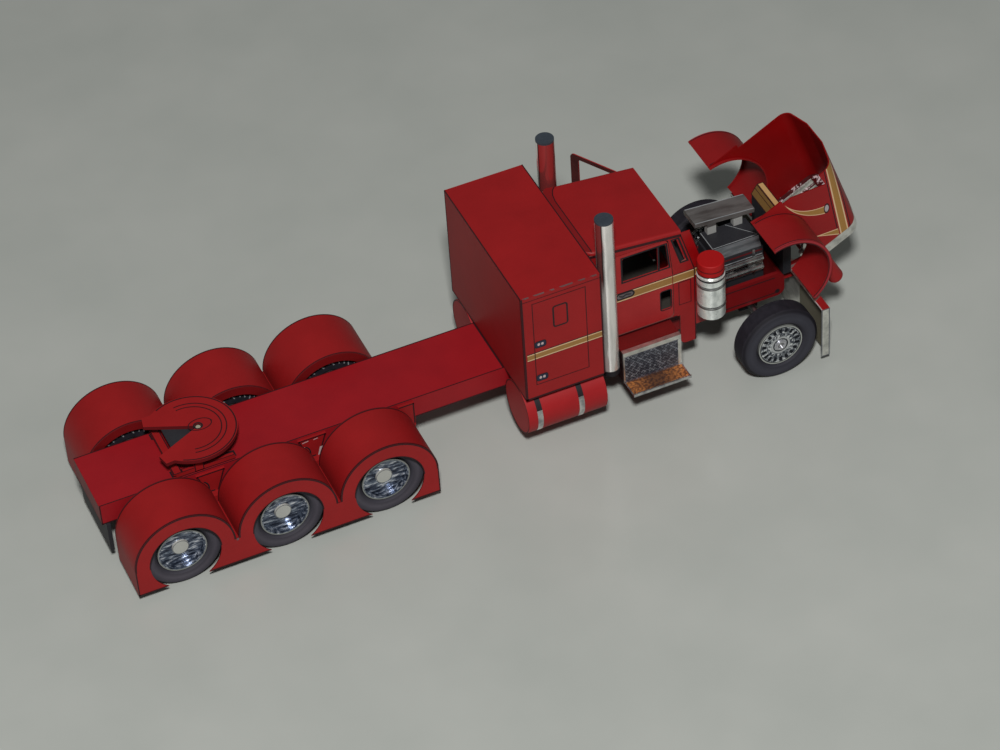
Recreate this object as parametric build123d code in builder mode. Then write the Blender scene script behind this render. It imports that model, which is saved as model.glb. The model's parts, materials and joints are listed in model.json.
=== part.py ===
from build123d import *

import math
import os

# A folded-card model of a long-nosed road tractor with three driven axles: a
# narrow cab in front of a wide sleeper, a long flat deck with a coupling plate,
# joined half-round rear fenders and a forward-tilting hood that carries the
# front fenders. The hood and the left door are stored open.
# Millimetres. +X is forward, +Y is the driver's side (left), +Z is up and z = 0
# is the floor. The origin is the middle of the footprint on the floor.

# ---------------------------------------------------------------- card and fits
card = 0.3            # one sheet of card
board = 1.0           # laminated card: frame rails, coupling plate, seats
glue_gap = 0.02       # between curved glued faces
run_gap = 0.05        # radial clearance of an axle rod or hinge rod in its bore
seam = 0.2            # all round a door in its opening
glue_tab = 1.5        # width of a glued overlap
sweep_gap = 0.25      # between the swinging hood and what it passes
rest_gap = 0.3        # between a moving piece and what it comes down on

# ---------------------------------------------------------------- wheels and axles
rear_axle_x = -85.9   # rearmost axle
axle_pitch = 26.05    # between neighbouring rear axles
wheelbase = 157.3     # rearmost axle to front axle
rod_r = 0.9
rear_tyre_r = 10.5
rear_tyre_w = 5.6
twin_gap = 0.8        # between the two tyres of a pair
rear_wheel_face = 23.3    # outer sidewall from the centre line
rear_rim_r = 6.2
rim_dish = 1.8        # how deep the rear rim is sunk
rim_lip = 0.55        # wall left round the dish
hub_r = 2.1
hub_h = 0.6           # hub disc above the bottom of the dish
rim_inset = 0.2       # rim face behind the sidewall
front_tyre_r = 10.4
front_tyre_w = 5.9
front_wheel_face = 24.3
front_rim_r = 5.95
front_hub_r = 1.3
front_hub_h = 0.4
tyre_shoulder = 0.9

rear_axles = [rear_axle_x + i * axle_pitch for i in range(3)]
front_axle_x = rear_axle_x + wheelbase

# ---------------------------------------------------------------- frame
frame_w = 18.34
frame_top = 19.3
frame_rear_depth = 6.0
frame_front_depth = 7.2
frame_rear_over = 14.8    # behind the rearmost axle
frame_front_over = 8.7    # ahead of the front axle
frame_nose_r = 2.0
tail_plate_inset = 0.9    # ahead of the frame's rear face
tail_plate_bottom = 4.8
tail_plate_w = 19.8
bay_end_wall = 1.6        # card left ahead of the engine bay
bearer_w = 13.0
bearer_below = 2.1        # bearer below the axle centre
bearer_over = 5.0         # bearer past the end axles
front_bearer_l = 5.0

frame_rear_x = rear_axle_x - frame_rear_over
frame_front_x = front_axle_x + frame_front_over
frame_rear_bottom = frame_top - frame_rear_depth
frame_front_bottom = frame_top - frame_front_depth

# ---------------------------------------------------------------- rear fenders
fender_face = 25.6        # outer face from the centre line
fender_root_left = 9.75   # inner face from the centre line
fender_root_right = 11.6
fender_arc_r = 12.66
fender_arc_z = 10.8
fender_bottom = 3.2
outer_hole_r = 8.9
inner_hole_r = 10.7
web_drop = 0.6            # top of the webs below the deck
web_top_l = 7.3           # web between two arches, at the deck
web_foot_l = 1.6
web_foot_z = 11.0
web_front_over = 0.9      # front web past the last arch
web_front_l = 4.2
spacer_l = 3.2            # block between a web and the right fenders
spacer_bottom = 8.0
spacer_h = 4.5

# ---------------------------------------------------------------- coupling plate
kingpin_ahead = 14.3      # of the rearmost axle
kingpin_r = 0.85
plate_top = 25.2
plate_t = 1.0
plate_r = 11.2
plate_back = 1.8          # disc centre behind the kingpin
# corners of a horn: distance behind the kingpin, distance from the centre line
horn_corners = [(4.5, 10.0), (7.7, 8.4), (11.2, 8.7), (11.9, 5.6)]
bed_back = 8.1            # sheet under the throat, behind the kingpin
bed_front = 1.7
bed_w = 12.8
bed_hole_gap = 0.35       # its hole is this much wider than the kingpin's
rail_back = 9.3           # slide rails on the deck
rail_front = 5.7
rail_y = 7.4              # their inner faces
rail_w = 1.2
rail_h = 1.3
tie_back = 9.9            # strip across the rails' rear ends
tie_l = 2.2
post_back = 3.4           # post from each rail up to the plate
post_l = 2.4

kingpin_x = rear_axle_x + kingpin_ahead

# ---------------------------------------------------------------- sleeper
sleeper_ahead = 89.8      # rear wall ahead of the rearmost axle
sleeper_l = 20.9
sleeper_w = 44.94
sleeper_h = 32.6

sleeper_rear_x = rear_axle_x + sleeper_ahead
sleeper_front_x = sleeper_rear_x + sleeper_l
sleeper_top = frame_top + sleeper_h

# ---------------------------------------------------------------- cab
cab_w = 27.2
cab_side_l = 28.7         # sleeper front to the front edge of the side panel
cab_side_bottom = 21.0
cab_eave_rear = 49.6      # top edge of the side panel at the sleeper
cab_eave_front = 47.0     # and at the windscreen
cab_leg_l = 4.2           # front leg of the side panel, beside the step
cab_leg_bottom = 11.5
cab_leg_r = 1.5
screen_foot = 34.8        # where the slanted front edge starts
screen_lean = 3.5         # how far its top stands back
cab_floor_z = 21.0
roof_t = 1.0
roof_corner_r = 3.0
door_front_back = 6.0     # door's front edge behind the panel's front edge
door_l = 15.6
door_bottom = 21.6
door_top = 46.6
door_top_back = 1.1       # door's front edge leans back above the waist
door_waist = 35.0
door_corner_r = 1.2
window_bottom = 38.0
window_top = 45.4
window_rear_margin = 2.4
window_front_margin = 0.9
vent_bar = 0.45
vent_l = 2.7              # vent bar behind the window's front end
peep_l = 2.8
peep_margin = 0.5
peep_bottom = 24.6
peep_top = 30.6
slot_bottom = 38.2
slot_top = 46.0
slot_w = 1.7
slot_margin = 1.0
door_open = 60.0          # stored angle of the left door
door_reach = 75.0         # how far a door opens
collar_l = 6.9            # cowl collar ahead of the side panel
left_collar_top = 26.0    # the left collar is cut down to this
wing_l = 2.6
seat_gap = 1.0            # behind the seat's back
seat_l = 8.5
seat_h = 6.0
seat_w = 7.2
seat_back_foot = 3.4      # thickness of the back at the cushion
seat_back_top = 2.0
seat_back_h = 15.5
dash_l = 4.0
dash_h = 6.0
dash_top = 37.2
wheel_r = 3.6
wheel_ring = 0.7
wheel_lean = 28.0
wheel_reach = 1.6         # wheel centre behind the dash
wheel_drop = 2.6          # and below its top
collar_bottom = 16.2
collar_inset = 0.3

cab_front_x = sleeper_front_x + cab_side_l
door_front_x = cab_front_x - door_front_back
door_rear_x = door_front_x - door_l
cab_side_y = cab_w / 2    # outer face of the side panels

# ---------------------------------------------------------------- beside the cab
stack_r = 2.3
stack_ahead = 3.85        # of the sleeper's front wall
stack_gap = 0.85          # between a stack and the cab's side
stack_bottom = 14.0
stack_top = 62.9
stack_cap_t = 0.5
tank_r = 7.0
step_l = 15.6
step_gap = 6.4            # sleeper to the step box
step_top = 20.2
step_bottom = 10.4
step_out = 5.4            # upper box from the cab side
tread_out = 5.3           # lower tread past the upper box
tread_lip = 0.8
can_r = 3.5
can_bracket = 0.6         # holds the can off the cowl
can_bottom = 22.9
can_top = 35.3
can_neck_r = 2.9
can_neck_h = 0.9
can_cap_r = 3.35
can_cap_h = 3.6

stack_x = sleeper_front_x + stack_ahead
stack_y = cab_side_y + stack_gap + stack_r
step_rear_x = sleeper_front_x + step_gap

# ---------------------------------------------------------------- engine bay
engine_l = 13.6
engine_w = 8.8
engine_y = -2.0           # middle of the block
engine_top = 27.4
engine_behind = 9.3       # rear end behind the front axle
cover_l = 12.6
cover_h = 2.6
cover_slope = 1.7         # lean of the cover's right side
duct_l = 16.4
duct_w = 6.2
duct_y = 3.8
duct_behind = 10.8        # rear end behind the front axle
duct_top = 34.8
duct_fall = 1.2           # its front end lies this much lower
duct_t = 1.2
duct_post_l = 2.4
duct_post_w = 1.6
duct_post_inset = 2.2     # posts from the duct's ends
pipe_r = 0.8
pipe_l = 12.0
pipe_gap = 0.4            # pipes off the block's side
pipe_drops = (2.4, 5.2)   # pipe axes below the block's top
pipe_block_l = 2.0
radiator_l = 2.2
radiator_w = 17.0
radiator_top = 30.8
header_w = 17.8
header_l = 3.4
header_h = 2.6
header_slant = 1.7

engine_rear_x = front_axle_x - engine_behind
duct_rear_x = front_axle_x - duct_behind

# ---------------------------------------------------------------- bumper and hood hinge
bumper_w = 50.0
bumper_ahead = 13.1       # front face ahead of the front axle
bumper_top = 18.0
bumper_bottom = 2.4
bumper_return = 2.2
hinge_ahead = 16.5        # of the front axle
hinge_z = 18.9
hinge_arm_y = 6.0
hinge_eye_r = 1.2
hinge_rod_r = 0.5

bumper_front_x = front_axle_x + bumper_ahead
hinge_x = front_axle_x + hinge_ahead

# ---------------------------------------------------------------- hood, as closed
hood_open = 62.0          # stored tilt, and the stop it leans on
hood_behind = 10.3        # rear end behind the front axle
hood_ahead = 14.9         # front end ahead of it
hood_rear_w = 24.2
hood_front_w = 22.2
hood_bottom = 20.6
hood_rear_top = 39.2
hood_front_top = 35.2
hood_shoulder_r = 3.2
crown_half = 4.0          # flat middle of the hood's crown
crown_drop = 2.0          # fall of the crown to the shoulders
panel_waist = 22.3        # the side panels reach back to the fender's end below this
notch_top = 33.3          # the right panel is cut back up to this
notch_l = 5.3
grille_rim = 1.5          # border round the grille's opening
grille_bars = 9
grille_depth = 2.6
nose_fender_face = 23.4
nose_fender_r = 11.5
nose_fender_z = 12.4
nose_fender_front_cut = 8.0   # degrees left off the half round
nose_fender_rear_cut = 5.0
nose_lip_w = 1.0
pod_r = 2.0
pod_ahead = 16.2          # nose ahead of the front axle
pod_y = 18.2
pod_z = 21.4

hood_rear_x = front_axle_x - hood_behind
hood_front_x = front_axle_x + hood_ahead
pod_nose_x = front_axle_x + pod_ahead

# how far from its hinge the hood's lowest rear corner, the fender's end, reaches
fender_end = math.radians(nose_fender_rear_cut)
hood_reach = math.hypot(
    hinge_x - front_axle_x + nose_fender_r * math.cos(fender_end),
    hinge_z - nose_fender_z - nose_fender_r * math.sin(fender_end),
)
can_x = hinge_x - can_r - math.sqrt(
    (hood_reach + sweep_gap) ** 2 - (can_bottom - hinge_z) ** 2)
can_y = -(cab_side_y - collar_inset + can_bracket + can_r)


def side_plane(y):
    """Vertical plane at y, drawn in world X and Z, facing the right (-Y)."""
    return Plane.XZ.offset(-y)


def axle_plane(x, z):
    """Cross plane through an axle, drawn in Y and Z about the axle's centre."""
    return Plane(origin=(x, 0, z), x_dir=(0, 1, 0), z_dir=(1, 0, 0))


def save(part, name):
    part.label = name
    export_step(part, f"parts/{name}.step")


def plate_start(side, outer, thickness):
    """Y of the plane from which a side plate is extruded towards -Y."""
    return outer if side > 0 else -(outer - thickness)


# ---------------------------------------------------------------- frame
def build_frame():
    """Boxed card frame: the deck behind the cab, two open rails under the engine."""
    step_x = sleeper_front_x
    bay_l = frame_front_x - bay_end_wall - cab_front_x
    with BuildPart() as frame:
        with BuildSketch(side_plane(frame_w / 2)) as side:
            with BuildLine():
                Polyline(
                    (frame_rear_x, frame_top),
                    (frame_rear_x, frame_rear_bottom),
                    (step_x, frame_rear_bottom),
                    (step_x, frame_front_bottom),
                    (frame_front_x, frame_front_bottom),
                    (frame_front_x, frame_top),
                    close=True,
                )
            make_face()
            fillet(side.vertices().group_by(Axis.X)[-1], frame_nose_r)
        extrude(amount=frame_w)
        with BuildSketch(Plane.XY.offset(frame_front_bottom)):
            with Locations((cab_front_x + bay_l / 2, 0)):
                Rectangle(bay_l, frame_w - 2 * board)
        extrude(amount=frame_front_depth, mode=Mode.SUBTRACT)
    return frame.part


def build_tail_plate():
    """Upright plate that hangs under the frame's rear end."""
    with BuildPart() as plate:
        with BuildSketch(axle_plane(
                frame_rear_x + tail_plate_inset, (tail_plate_bottom + frame_rear_bottom) / 2)):
            Rectangle(tail_plate_w, frame_rear_bottom - tail_plate_bottom)
        extrude(amount=board)
    return plate.part


def build_bearers():
    """Blocks under the frame that carry the axle rods."""
    # columns: rear end, front end, top, axle height, axle positions
    table = [
        (rear_axles[0] - bearer_over, rear_axles[-1] + bearer_over,
         frame_rear_bottom, rear_tyre_r, rear_axles),
        (front_axle_x - front_bearer_l / 2, front_axle_x + front_bearer_l / 2,
         frame_front_bottom, front_tyre_r, [front_axle_x]),
    ]
    with BuildPart() as bearers:
        for rear, front, top, axle_z, axles in table:
            with BuildSketch(side_plane(bearer_w / 2)):
                with BuildLine():
                    Polyline(
                        (rear, top),
                        (rear, axle_z - bearer_below),
                        (front, axle_z - bearer_below),
                        (front, top),
                        close=True,
                    )
                make_face()
                with Locations(*[(x, axle_z) for x in axles]):
                    Circle(rod_r + run_gap, mode=Mode.SUBTRACT)
            extrude(amount=bearer_w)
    return bearers.part


# ---------------------------------------------------------------- rear fenders
def fender_outline(radius, bottom, shelf):
    """Three half discs standing on one strip, drawn on the current side plane."""
    with Locations(*[(x, fender_arc_z) for x in rear_axles]):
        Circle(radius)
    with Locations((rear_axles[1], (bottom + shelf) / 2)):
        Rectangle(2 * axle_pitch + 2 * radius, shelf - bottom)
    with Locations((rear_axles[1], bottom - radius)):
        Rectangle(4 * axle_pitch, 2 * radius, mode=Mode.SUBTRACT)


def fender_root(side):
    """Inner face of a side's fenders from the centre line."""
    return fender_root_left if side > 0 else fender_root_right


def build_fender_crown(side):
    """The curved strip over the three wheels, with its end walls."""
    start = fender_face - card if side > 0 else -(fender_root(side) + card)
    with BuildPart() as crown:
        with BuildSketch(side_plane(start)):
            fender_outline(fender_arc_r, fender_bottom, fender_arc_z)
            with Locations(*[(x, fender_arc_z) for x in rear_axles]):
                Circle(fender_arc_r - card, mode=Mode.SUBTRACT)
            with Locations((rear_axles[1], fender_arc_z - card - fender_arc_r)):
                Rectangle(
                    2 * axle_pitch + 2 * (fender_arc_r - card),
                    2 * fender_arc_r,
                    mode=Mode.SUBTRACT,
                )
        extrude(amount=fender_face - fender_root(side) - 2 * card)
    return crown.part


def build_fender_plate(side, outer, hole_r):
    """A side plate of the fenders, with a round hole at each wheel."""
    with BuildPart() as plate:
        with BuildSketch(side_plane(plate_start(side, outer, card))):
            fender_outline(fender_arc_r, fender_bottom, fender_arc_z)
            with Locations(*[(x, rear_tyre_r) for x in rear_axles]):
                Circle(hole_r, mode=Mode.SUBTRACT)
        extrude(amount=card)
    return plate.part


def build_fender_webs():
    """Webs between the arches that join the frame's sides to the fenders.

    The right fenders stand further out, on a block beside each middle web.
    """
    front_x = rear_axles[2] + fender_arc_r + web_front_over
    past_tyre_x = rear_axles[2] + rear_tyre_r + rest_gap
    # columns: rear and front end at the deck, rear and front end at the foot
    table = [(front_x - web_front_l, front_x, past_tyre_x, front_x)]
    for x in rear_axles[:2]:
        middle = x + axle_pitch / 2
        table.append((middle - web_top_l / 2, middle + web_top_l / 2,
                      middle - web_foot_l / 2, middle + web_foot_l / 2))
    with BuildPart() as webs:
        for y in (fender_root_left, -frame_w / 2):
            for top_rear, top_front, foot_rear, foot_front in table:
                with BuildSketch(side_plane(y)):
                    with BuildLine():
                        Polyline(
                            (top_rear, frame_top - web_drop),
                            (top_front, frame_top - web_drop),
                            (foot_front, web_foot_z),
                            (foot_rear, web_foot_z),
                            close=True,
                        )
                    make_face()
                extrude(amount=fender_root_left - frame_w / 2)
        for x in rear_axles[:2]:
            with BuildSketch(Plane.XY.offset(spacer_bottom)):
                with Locations((x + axle_pitch / 2, -(frame_w / 2 + fender_root_right) / 2)):
                    Rectangle(spacer_l, fender_root_right - frame_w / 2)
            extrude(amount=spacer_h)
    return webs.part


# ---------------------------------------------------------------- coupling plate
def build_coupling_plate():
    """Round plate with two rear horns and a throat that leads to the kingpin hole."""
    horn = [(kingpin_x - back, out) for back, out in horn_corners]
    tip_x, tip_y = horn[-1]
    past_x = tip_x - plate_r
    with BuildPart() as plate:
        with BuildSketch(Plane.XY.offset(plate_top - plate_t)):
            with Locations((kingpin_x - plate_back, 0)):
                Circle(plate_r)
            with BuildLine():
                Polyline(
                    (kingpin_x, 0),
                    *horn,
                    *[(x, -y) for x, y in reversed(horn)],
                    close=True,
                )
            make_face()
            with BuildLine():
                Polyline(
                    (kingpin_x, 0),
                    (tip_x, tip_y),
                    (past_x, tip_y),
                    (past_x, -tip_y),
                    (tip_x, -tip_y),
                    close=True,
                )
            make_face(mode=Mode.SUBTRACT)
            with Locations((kingpin_x, 0)):
                Circle(kingpin_r, mode=Mode.SUBTRACT)
        extrude(amount=plate_t)
    return plate.part


def build_coupling_bed():
    """Sheet glued under the plate, which closes the throat's front half."""
    with BuildPart() as bed:
        with BuildSketch(Plane.XY.offset(plate_top - plate_t - card)):
            with Locations((kingpin_x + (bed_front - bed_back) / 2, 0)):
                Rectangle(bed_back + bed_front, bed_w)
            with Locations((kingpin_x, 0)):
                Circle(kingpin_r + bed_hole_gap, mode=Mode.SUBTRACT)
        extrude(amount=card)
    return bed.part


def build_coupling_base():
    """Two rails on the deck, tied at the rear, each with a post under the plate."""
    height = plate_top - plate_t - frame_top
    with BuildPart() as base:
        for y in (rail_y + rail_w, -rail_y):
            with BuildSketch(side_plane(y)):
                with Locations((kingpin_x + (rail_front - rail_back) / 2, frame_top + rail_h / 2)):
                    Rectangle(rail_back + rail_front, rail_h)
                with Locations((kingpin_x - post_back, frame_top + height / 2)):
                    Rectangle(post_l, height)
            extrude(amount=rail_w)
        with BuildSketch(Plane.XY.offset(frame_top + rail_h - card)):
            with Locations((kingpin_x - tie_back + tie_l / 2, 0)):
                Rectangle(tie_l, 2 * (rail_y + rail_w))
        extrude(amount=card)
    return base.part


# ---------------------------------------------------------------- sleeper
def build_sleeper():
    """Folded box, open towards the cab."""
    with BuildPart() as box:
        with BuildSketch(Plane.XY.offset(frame_top)):
            with Locations((sleeper_rear_x + (sleeper_l - card) / 2, 0)):
                Rectangle(sleeper_l - card, sleeper_w)
        extrude(amount=sleeper_h)
        offset(amount=-card, openings=box.faces().sort_by(Axis.X)[-1])
    return box.part


def build_sleeper_front():
    with BuildPart() as front:
        with BuildSketch(axle_plane(sleeper_front_x - card, frame_top + sleeper_h / 2)):
            Rectangle(sleeper_w, sleeper_h)
        extrude(amount=card)
    return front.part


# ---------------------------------------------------------------- cab
def door_points(margin):
    """Corners of the door's outline grown by margin, in world X and Z."""
    lean_x = door_front_x - door_top_back
    return [
        (door_rear_x - margin, door_bottom - margin),
        (door_front_x + margin, door_bottom - margin),
        (door_front_x + margin, door_waist),
        (lean_x + margin, door_top + margin),
        (door_rear_x - margin, door_top + margin),
    ]


def build_cab_side(side):
    """Side panel with the door opening and the slanted corner window."""
    slot_mid = (slot_bottom + slot_top) / 2
    slope = math.degrees(math.atan2(screen_lean, cab_eave_front - screen_foot))
    edge_at_slot = cab_front_x - screen_lean * (slot_mid - screen_foot) / (
        cab_eave_front - screen_foot)
    with BuildPart() as panel:
        with BuildSketch(side_plane(plate_start(side, cab_side_y, card))) as outline:
            with BuildLine():
                Polyline(
                    (sleeper_front_x, cab_side_bottom),
                    (cab_front_x - cab_leg_l, cab_side_bottom),
                    (cab_front_x - cab_leg_l, cab_leg_bottom),
                    (cab_front_x, cab_leg_bottom),
                    (cab_front_x, screen_foot),
                    (cab_front_x - screen_lean, cab_eave_front),
                    (sleeper_front_x, cab_eave_rear),
                    close=True,
                )
            make_face()
            inner_corner = outline.vertices().sort_by_distance(
                (cab_front_x - cab_leg_l, plate_start(side, cab_side_y, card), cab_side_bottom)
            )[0]
            fillet(inner_corner, cab_leg_r)
            with Locations((edge_at_slot - slot_margin - slot_w / 2, slot_mid)):
                with Locations(Location((0, 0, 0), (0, 0, slope))):
                    Rectangle(slot_w, slot_top - slot_bottom, mode=Mode.SUBTRACT)
        extrude(amount=card)
        with BuildSketch(side_plane(plate_start(side, cab_side_y, card))):
            with BuildLine():
                FilletPolyline(*door_points(seam), radius=door_corner_r, close=True)
            make_face()
        extrude(amount=card, mode=Mode.SUBTRACT)
    return panel.part


def build_cab_floor():
    """Floor from the sleeper to the cowl, between the side panels."""
    length = cab_front_x - glue_tab - sleeper_front_x
    with BuildPart() as floor:
        with BuildSketch(Plane.XY.offset(cab_floor_z)):
            with Locations((sleeper_front_x + length / 2, 0)):
                Rectangle(length, cab_w - 2 * card)
        extrude(amount=card)
    return floor.part


def build_cab_roof():
    """Roof tray that lies on the side panels and rolls down at its edges."""
    front_x = cab_front_x - screen_lean
    length = front_x - sleeper_front_x
    fall = math.degrees(math.atan2(cab_eave_rear - cab_eave_front, length))
    sloped = length / math.cos(math.radians(fall))
    eave = Plane(
        origin=(sleeper_front_x, 0, cab_eave_rear),
        x_dir=(math.cos(math.radians(fall)), 0, -math.sin(math.radians(fall))),
        z_dir=(math.sin(math.radians(fall)), 0, math.cos(math.radians(fall))),
    )
    with BuildPart() as roof:
        with BuildSketch(eave) as plan:
            with Locations((sloped / 2, 0)):
                Rectangle(sloped, cab_w)
            fillet(plan.vertices().group_by(Axis.X)[0], roof_corner_r)
        extrude(amount=roof_t)
        fillet(roof.faces().sort_by(Axis.Z)[-1].edges().sort_by(Axis.X)[-1], roof_t * 0.8)
    return roof.part


def build_screen_frame():
    """Windscreen frame with two panes cut out, between the slanted edges."""
    rise = cab_eave_front - slot_bottom
    foot_x = cab_front_x - screen_lean * (slot_bottom - screen_foot) / (
        cab_eave_front - screen_foot)
    top_x = cab_front_x - screen_lean
    angle = math.atan2(foot_x - top_x, rise)
    height = rise / math.cos(angle)
    leaning = Plane(
        origin=(foot_x, 0, slot_bottom),
        x_dir=(0, 1, 0),
        z_dir=(math.cos(angle), 0, math.sin(angle)),
    )
    inner_w = cab_w - 4 * card - 2 * glue_gap
    pane_w = (inner_w - 3 * board) / 2
    with BuildPart() as screen:
        with BuildSketch(leaning):
            with Locations((0, height / 2)):
                Rectangle(inner_w, height - rest_gap)
            with Locations(
                (-(pane_w + board) / 2, height / 2),
                ((pane_w + board) / 2, height / 2),
            ):
                Rectangle(pane_w, height - 2 * board, mode=Mode.SUBTRACT)
        extrude(amount=-card)
    return screen.part


def build_cowl():
    """Firewall, the collar the hood closes against and the slanted side wings."""
    half = cab_side_y - card
    front_x = cab_front_x + collar_l
    # plane of each plate, top of its collar, its wing ahead of the side panel;
    # the left one has no wing and ends with the firewall's sheet
    plates = [(half, left_collar_top, card), (card - half, screen_foot, wing_l)]
    with BuildPart() as cowl:
        with BuildSketch(axle_plane(cab_front_x, (frame_top + slot_bottom) / 2)):
            Rectangle(2 * half - 2 * card, slot_bottom - frame_top)
        extrude(amount=card)
        for y, collar_top, wing in plates:
            with BuildSketch(side_plane(y)):
                with BuildLine():
                    Polyline(
                        (cab_front_x - glue_tab, collar_bottom),
                        (front_x, collar_bottom),
                        (front_x, collar_top),
                        (cab_front_x - glue_tab, collar_top),
                        close=True,
                    )
                make_face()
                with BuildLine():
                    Polyline(
                        (cab_front_x - glue_tab, collar_bottom),
                        (cab_front_x + wing, collar_bottom),
                        (cab_front_x + wing, screen_foot),
                        (cab_front_x + wing - screen_lean, cab_eave_front),
                        (cab_front_x - glue_tab - screen_lean, cab_eave_front),
                        (cab_front_x - glue_tab, screen_foot),
                        close=True,
                    )
                make_face()
                with Locations((hinge_x, hinge_z)):
                    Circle(hood_reach + sweep_gap, mode=Mode.SUBTRACT)
            extrude(amount=card)
    return cowl.part


def build_door(side):
    """Door leaf with its window, vent bar and low window, drawn closed."""
    window_rear = door_rear_x + window_rear_margin
    window_front = door_front_x - window_front_margin
    peep_x = door_front_x - peep_margin - peep_l / 2
    lean = door_top_back * (window_top - window_bottom) / (door_top - door_waist)
    with BuildPart() as door:
        with BuildSketch(side_plane(plate_start(side, cab_side_y, card))):
            with BuildLine():
                FilletPolyline(*door_points(0), radius=door_corner_r, close=True)
            make_face()
            with BuildLine():
                FilletPolyline(
                    (window_rear, window_bottom),
                    (window_front, window_bottom),
                    (window_front - lean, window_top),
                    (window_rear, window_top),
                    radius=door_corner_r / 2,
                    close=True,
                )
            make_face(mode=Mode.SUBTRACT)
            with Locations((window_front - vent_l, (window_bottom + window_top) / 2)):
                Rectangle(vent_bar, window_top - window_bottom)
            with Locations((peep_x, (peep_bottom + peep_top) / 2)):
                RectangleRounded(peep_l, peep_top - peep_bottom, vent_bar, mode=Mode.SUBTRACT)
        extrude(amount=card)
    return door.part


def swing(part, side, angle):
    """Turn a closed door outward about its front edge."""
    post = Axis((door_front_x, side * cab_side_y, 0), (0, 0, 1))
    return part.rotate(post, -side * angle)


def build_seats():
    """Two plain seats on the cab floor."""
    floor_z = cab_floor_z + card
    rear_x = sleeper_front_x + seat_gap
    with BuildPart() as seats:
        for side in (1, -1):
            with BuildSketch(side_plane(side * cab_w / 4 + seat_w / 2)):
                with BuildLine():
                    Polyline(
                        (rear_x, floor_z),
                        (rear_x + seat_l, floor_z),
                        (rear_x + seat_l, floor_z + seat_h),
                        (rear_x + seat_back_foot, floor_z + seat_h),
                        (rear_x + seat_back_top, floor_z + seat_back_h),
                        (rear_x, floor_z + seat_back_h),
                        close=True,
                    )
                make_face()
            extrude(amount=seat_w)
    return seats.part


def wheel_plane():
    """Plane of the steering wheel, facing the driver."""
    lean = math.radians(wheel_lean)
    return Plane(
        origin=(cab_front_x - dash_l - wheel_reach, cab_w / 4, dash_top - wheel_drop),
        x_dir=(0, 1, 0),
        z_dir=(-math.cos(lean), 0, math.sin(lean)),
    )


def build_dashboard():
    """Dash box across the cab and the steering column that stands out of it."""
    half = cab_w / 2 - 2 * card
    with BuildPart() as dash:
        with BuildSketch(side_plane(half)):
            with BuildLine():
                Polyline(
                    (cab_front_x, dash_top),
                    (cab_front_x - dash_l, dash_top),
                    (cab_front_x - dash_l + board, dash_top - dash_h),
                    (cab_front_x, dash_top - dash_h),
                    close=True,
                )
            make_face()
        extrude(amount=2 * half)
        with BuildSketch(wheel_plane()):
            Circle(wheel_ring / 2)
        extrude(amount=-2 * wheel_reach)
    return dash.part


def build_steering_wheel():
    """Wheel ring with a crossbar, on the end of the column."""
    with BuildPart() as wheel:
        with BuildSketch(wheel_plane()):
            Circle(wheel_r)
            Circle(wheel_r - wheel_ring, mode=Mode.SUBTRACT)
            Rectangle(wheel_ring, 2 * wheel_r - wheel_ring)
            Circle(wheel_ring)
        extrude(amount=wheel_ring)
    return wheel.part


# ---------------------------------------------------------------- beside the cab
def build_stack(side):
    with BuildPart() as pipe:
        with BuildSketch(Plane.XY.offset(stack_bottom)):
            with Locations((stack_x, side * stack_y)):
                Circle(stack_r)
        extrude(amount=stack_top - stack_cap_t - stack_bottom)
    return pipe.part


def build_stack_caps():
    with BuildPart() as caps:
        with BuildSketch(Plane.XY.offset(stack_top - stack_cap_t)):
            with Locations((stack_x, stack_y), (stack_x, -stack_y)):
                Circle(stack_r)
        extrude(amount=stack_cap_t)
    return caps.part


def build_tank(side):
    """Round tank in the corner between the frame's side and the sleeper's underside."""
    with BuildPart() as tank:
        with BuildSketch(axle_plane(sleeper_rear_x, frame_top - tank_r)):
            with Locations((side * (frame_w / 2 + tank_r), 0)):
                Circle(tank_r)
        extrude(amount=sleeper_l)
    return tank.part


def build_step(side):
    """Step box under the door: top, riser, end walls and the lower tread."""
    root = frame_w / 2
    face = cab_side_y + step_out
    with BuildPart() as step:
        with BuildSketch(axle_plane(step_rear_x, 0)):
            with BuildLine():
                Polyline(
                    (side * root, step_top - card),
                    (side * root, step_top),
                    (side * face, step_top),
                    (side * face, step_bottom + card),
                    (side * (face + tread_out), step_bottom + card),
                    (side * (face + tread_out), step_bottom + tread_lip),
                    (side * (face + tread_out + card), step_bottom + tread_lip),
                    (side * (face + tread_out + card), step_bottom),
                    (side * (face - card), step_bottom),
                    (side * (face - card), step_top - card),
                    close=True,
                )
            make_face()
        extrude(amount=step_l)
        for x in (step_rear_x, step_rear_x + step_l - card):
            with BuildSketch(axle_plane(x, 0)):
                with BuildLine():
                    Polyline(
                        (side * root, step_top - card),
                        (side * (face - card), step_top - card),
                        (side * (face - card), step_bottom),
                        (side * root, frame_front_bottom + board),
                        close=True,
                    )
                make_face()
            extrude(amount=card)
    return step.part


def build_air_can():
    """Air-cleaner can with its neck, and the bracket that holds it to the cowl."""
    with BuildPart() as can:
        with BuildSketch(Plane.XY.offset(can_bottom)):
            with Locations((can_x, can_y)):
                Circle(can_r)
        extrude(amount=can_top - can_bottom)
        with BuildSketch(Plane.XY.offset(can_top)):
            with Locations((can_x, can_y)):
                Circle(can_neck_r)
        extrude(amount=can_neck_h)
        bracket_l = can_r + can_bracket
        with BuildSketch(Plane.XY.offset(can_bottom + can_r)):
            with Locations((can_x, can_y + bracket_l / 2)):
                Rectangle(can_r, bracket_l)
        extrude(amount=can_r)
    return can.part


def build_air_cap():
    with BuildPart() as cap:
        with BuildSketch(Plane.XY.offset(can_top + can_neck_h)):
            with Locations((can_x, can_y)):
                Circle(can_cap_r)
        extrude(amount=can_cap_h)
        fillet(cap.edges().group_by(Axis.Z)[-1], card)
    return cap.part


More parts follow.
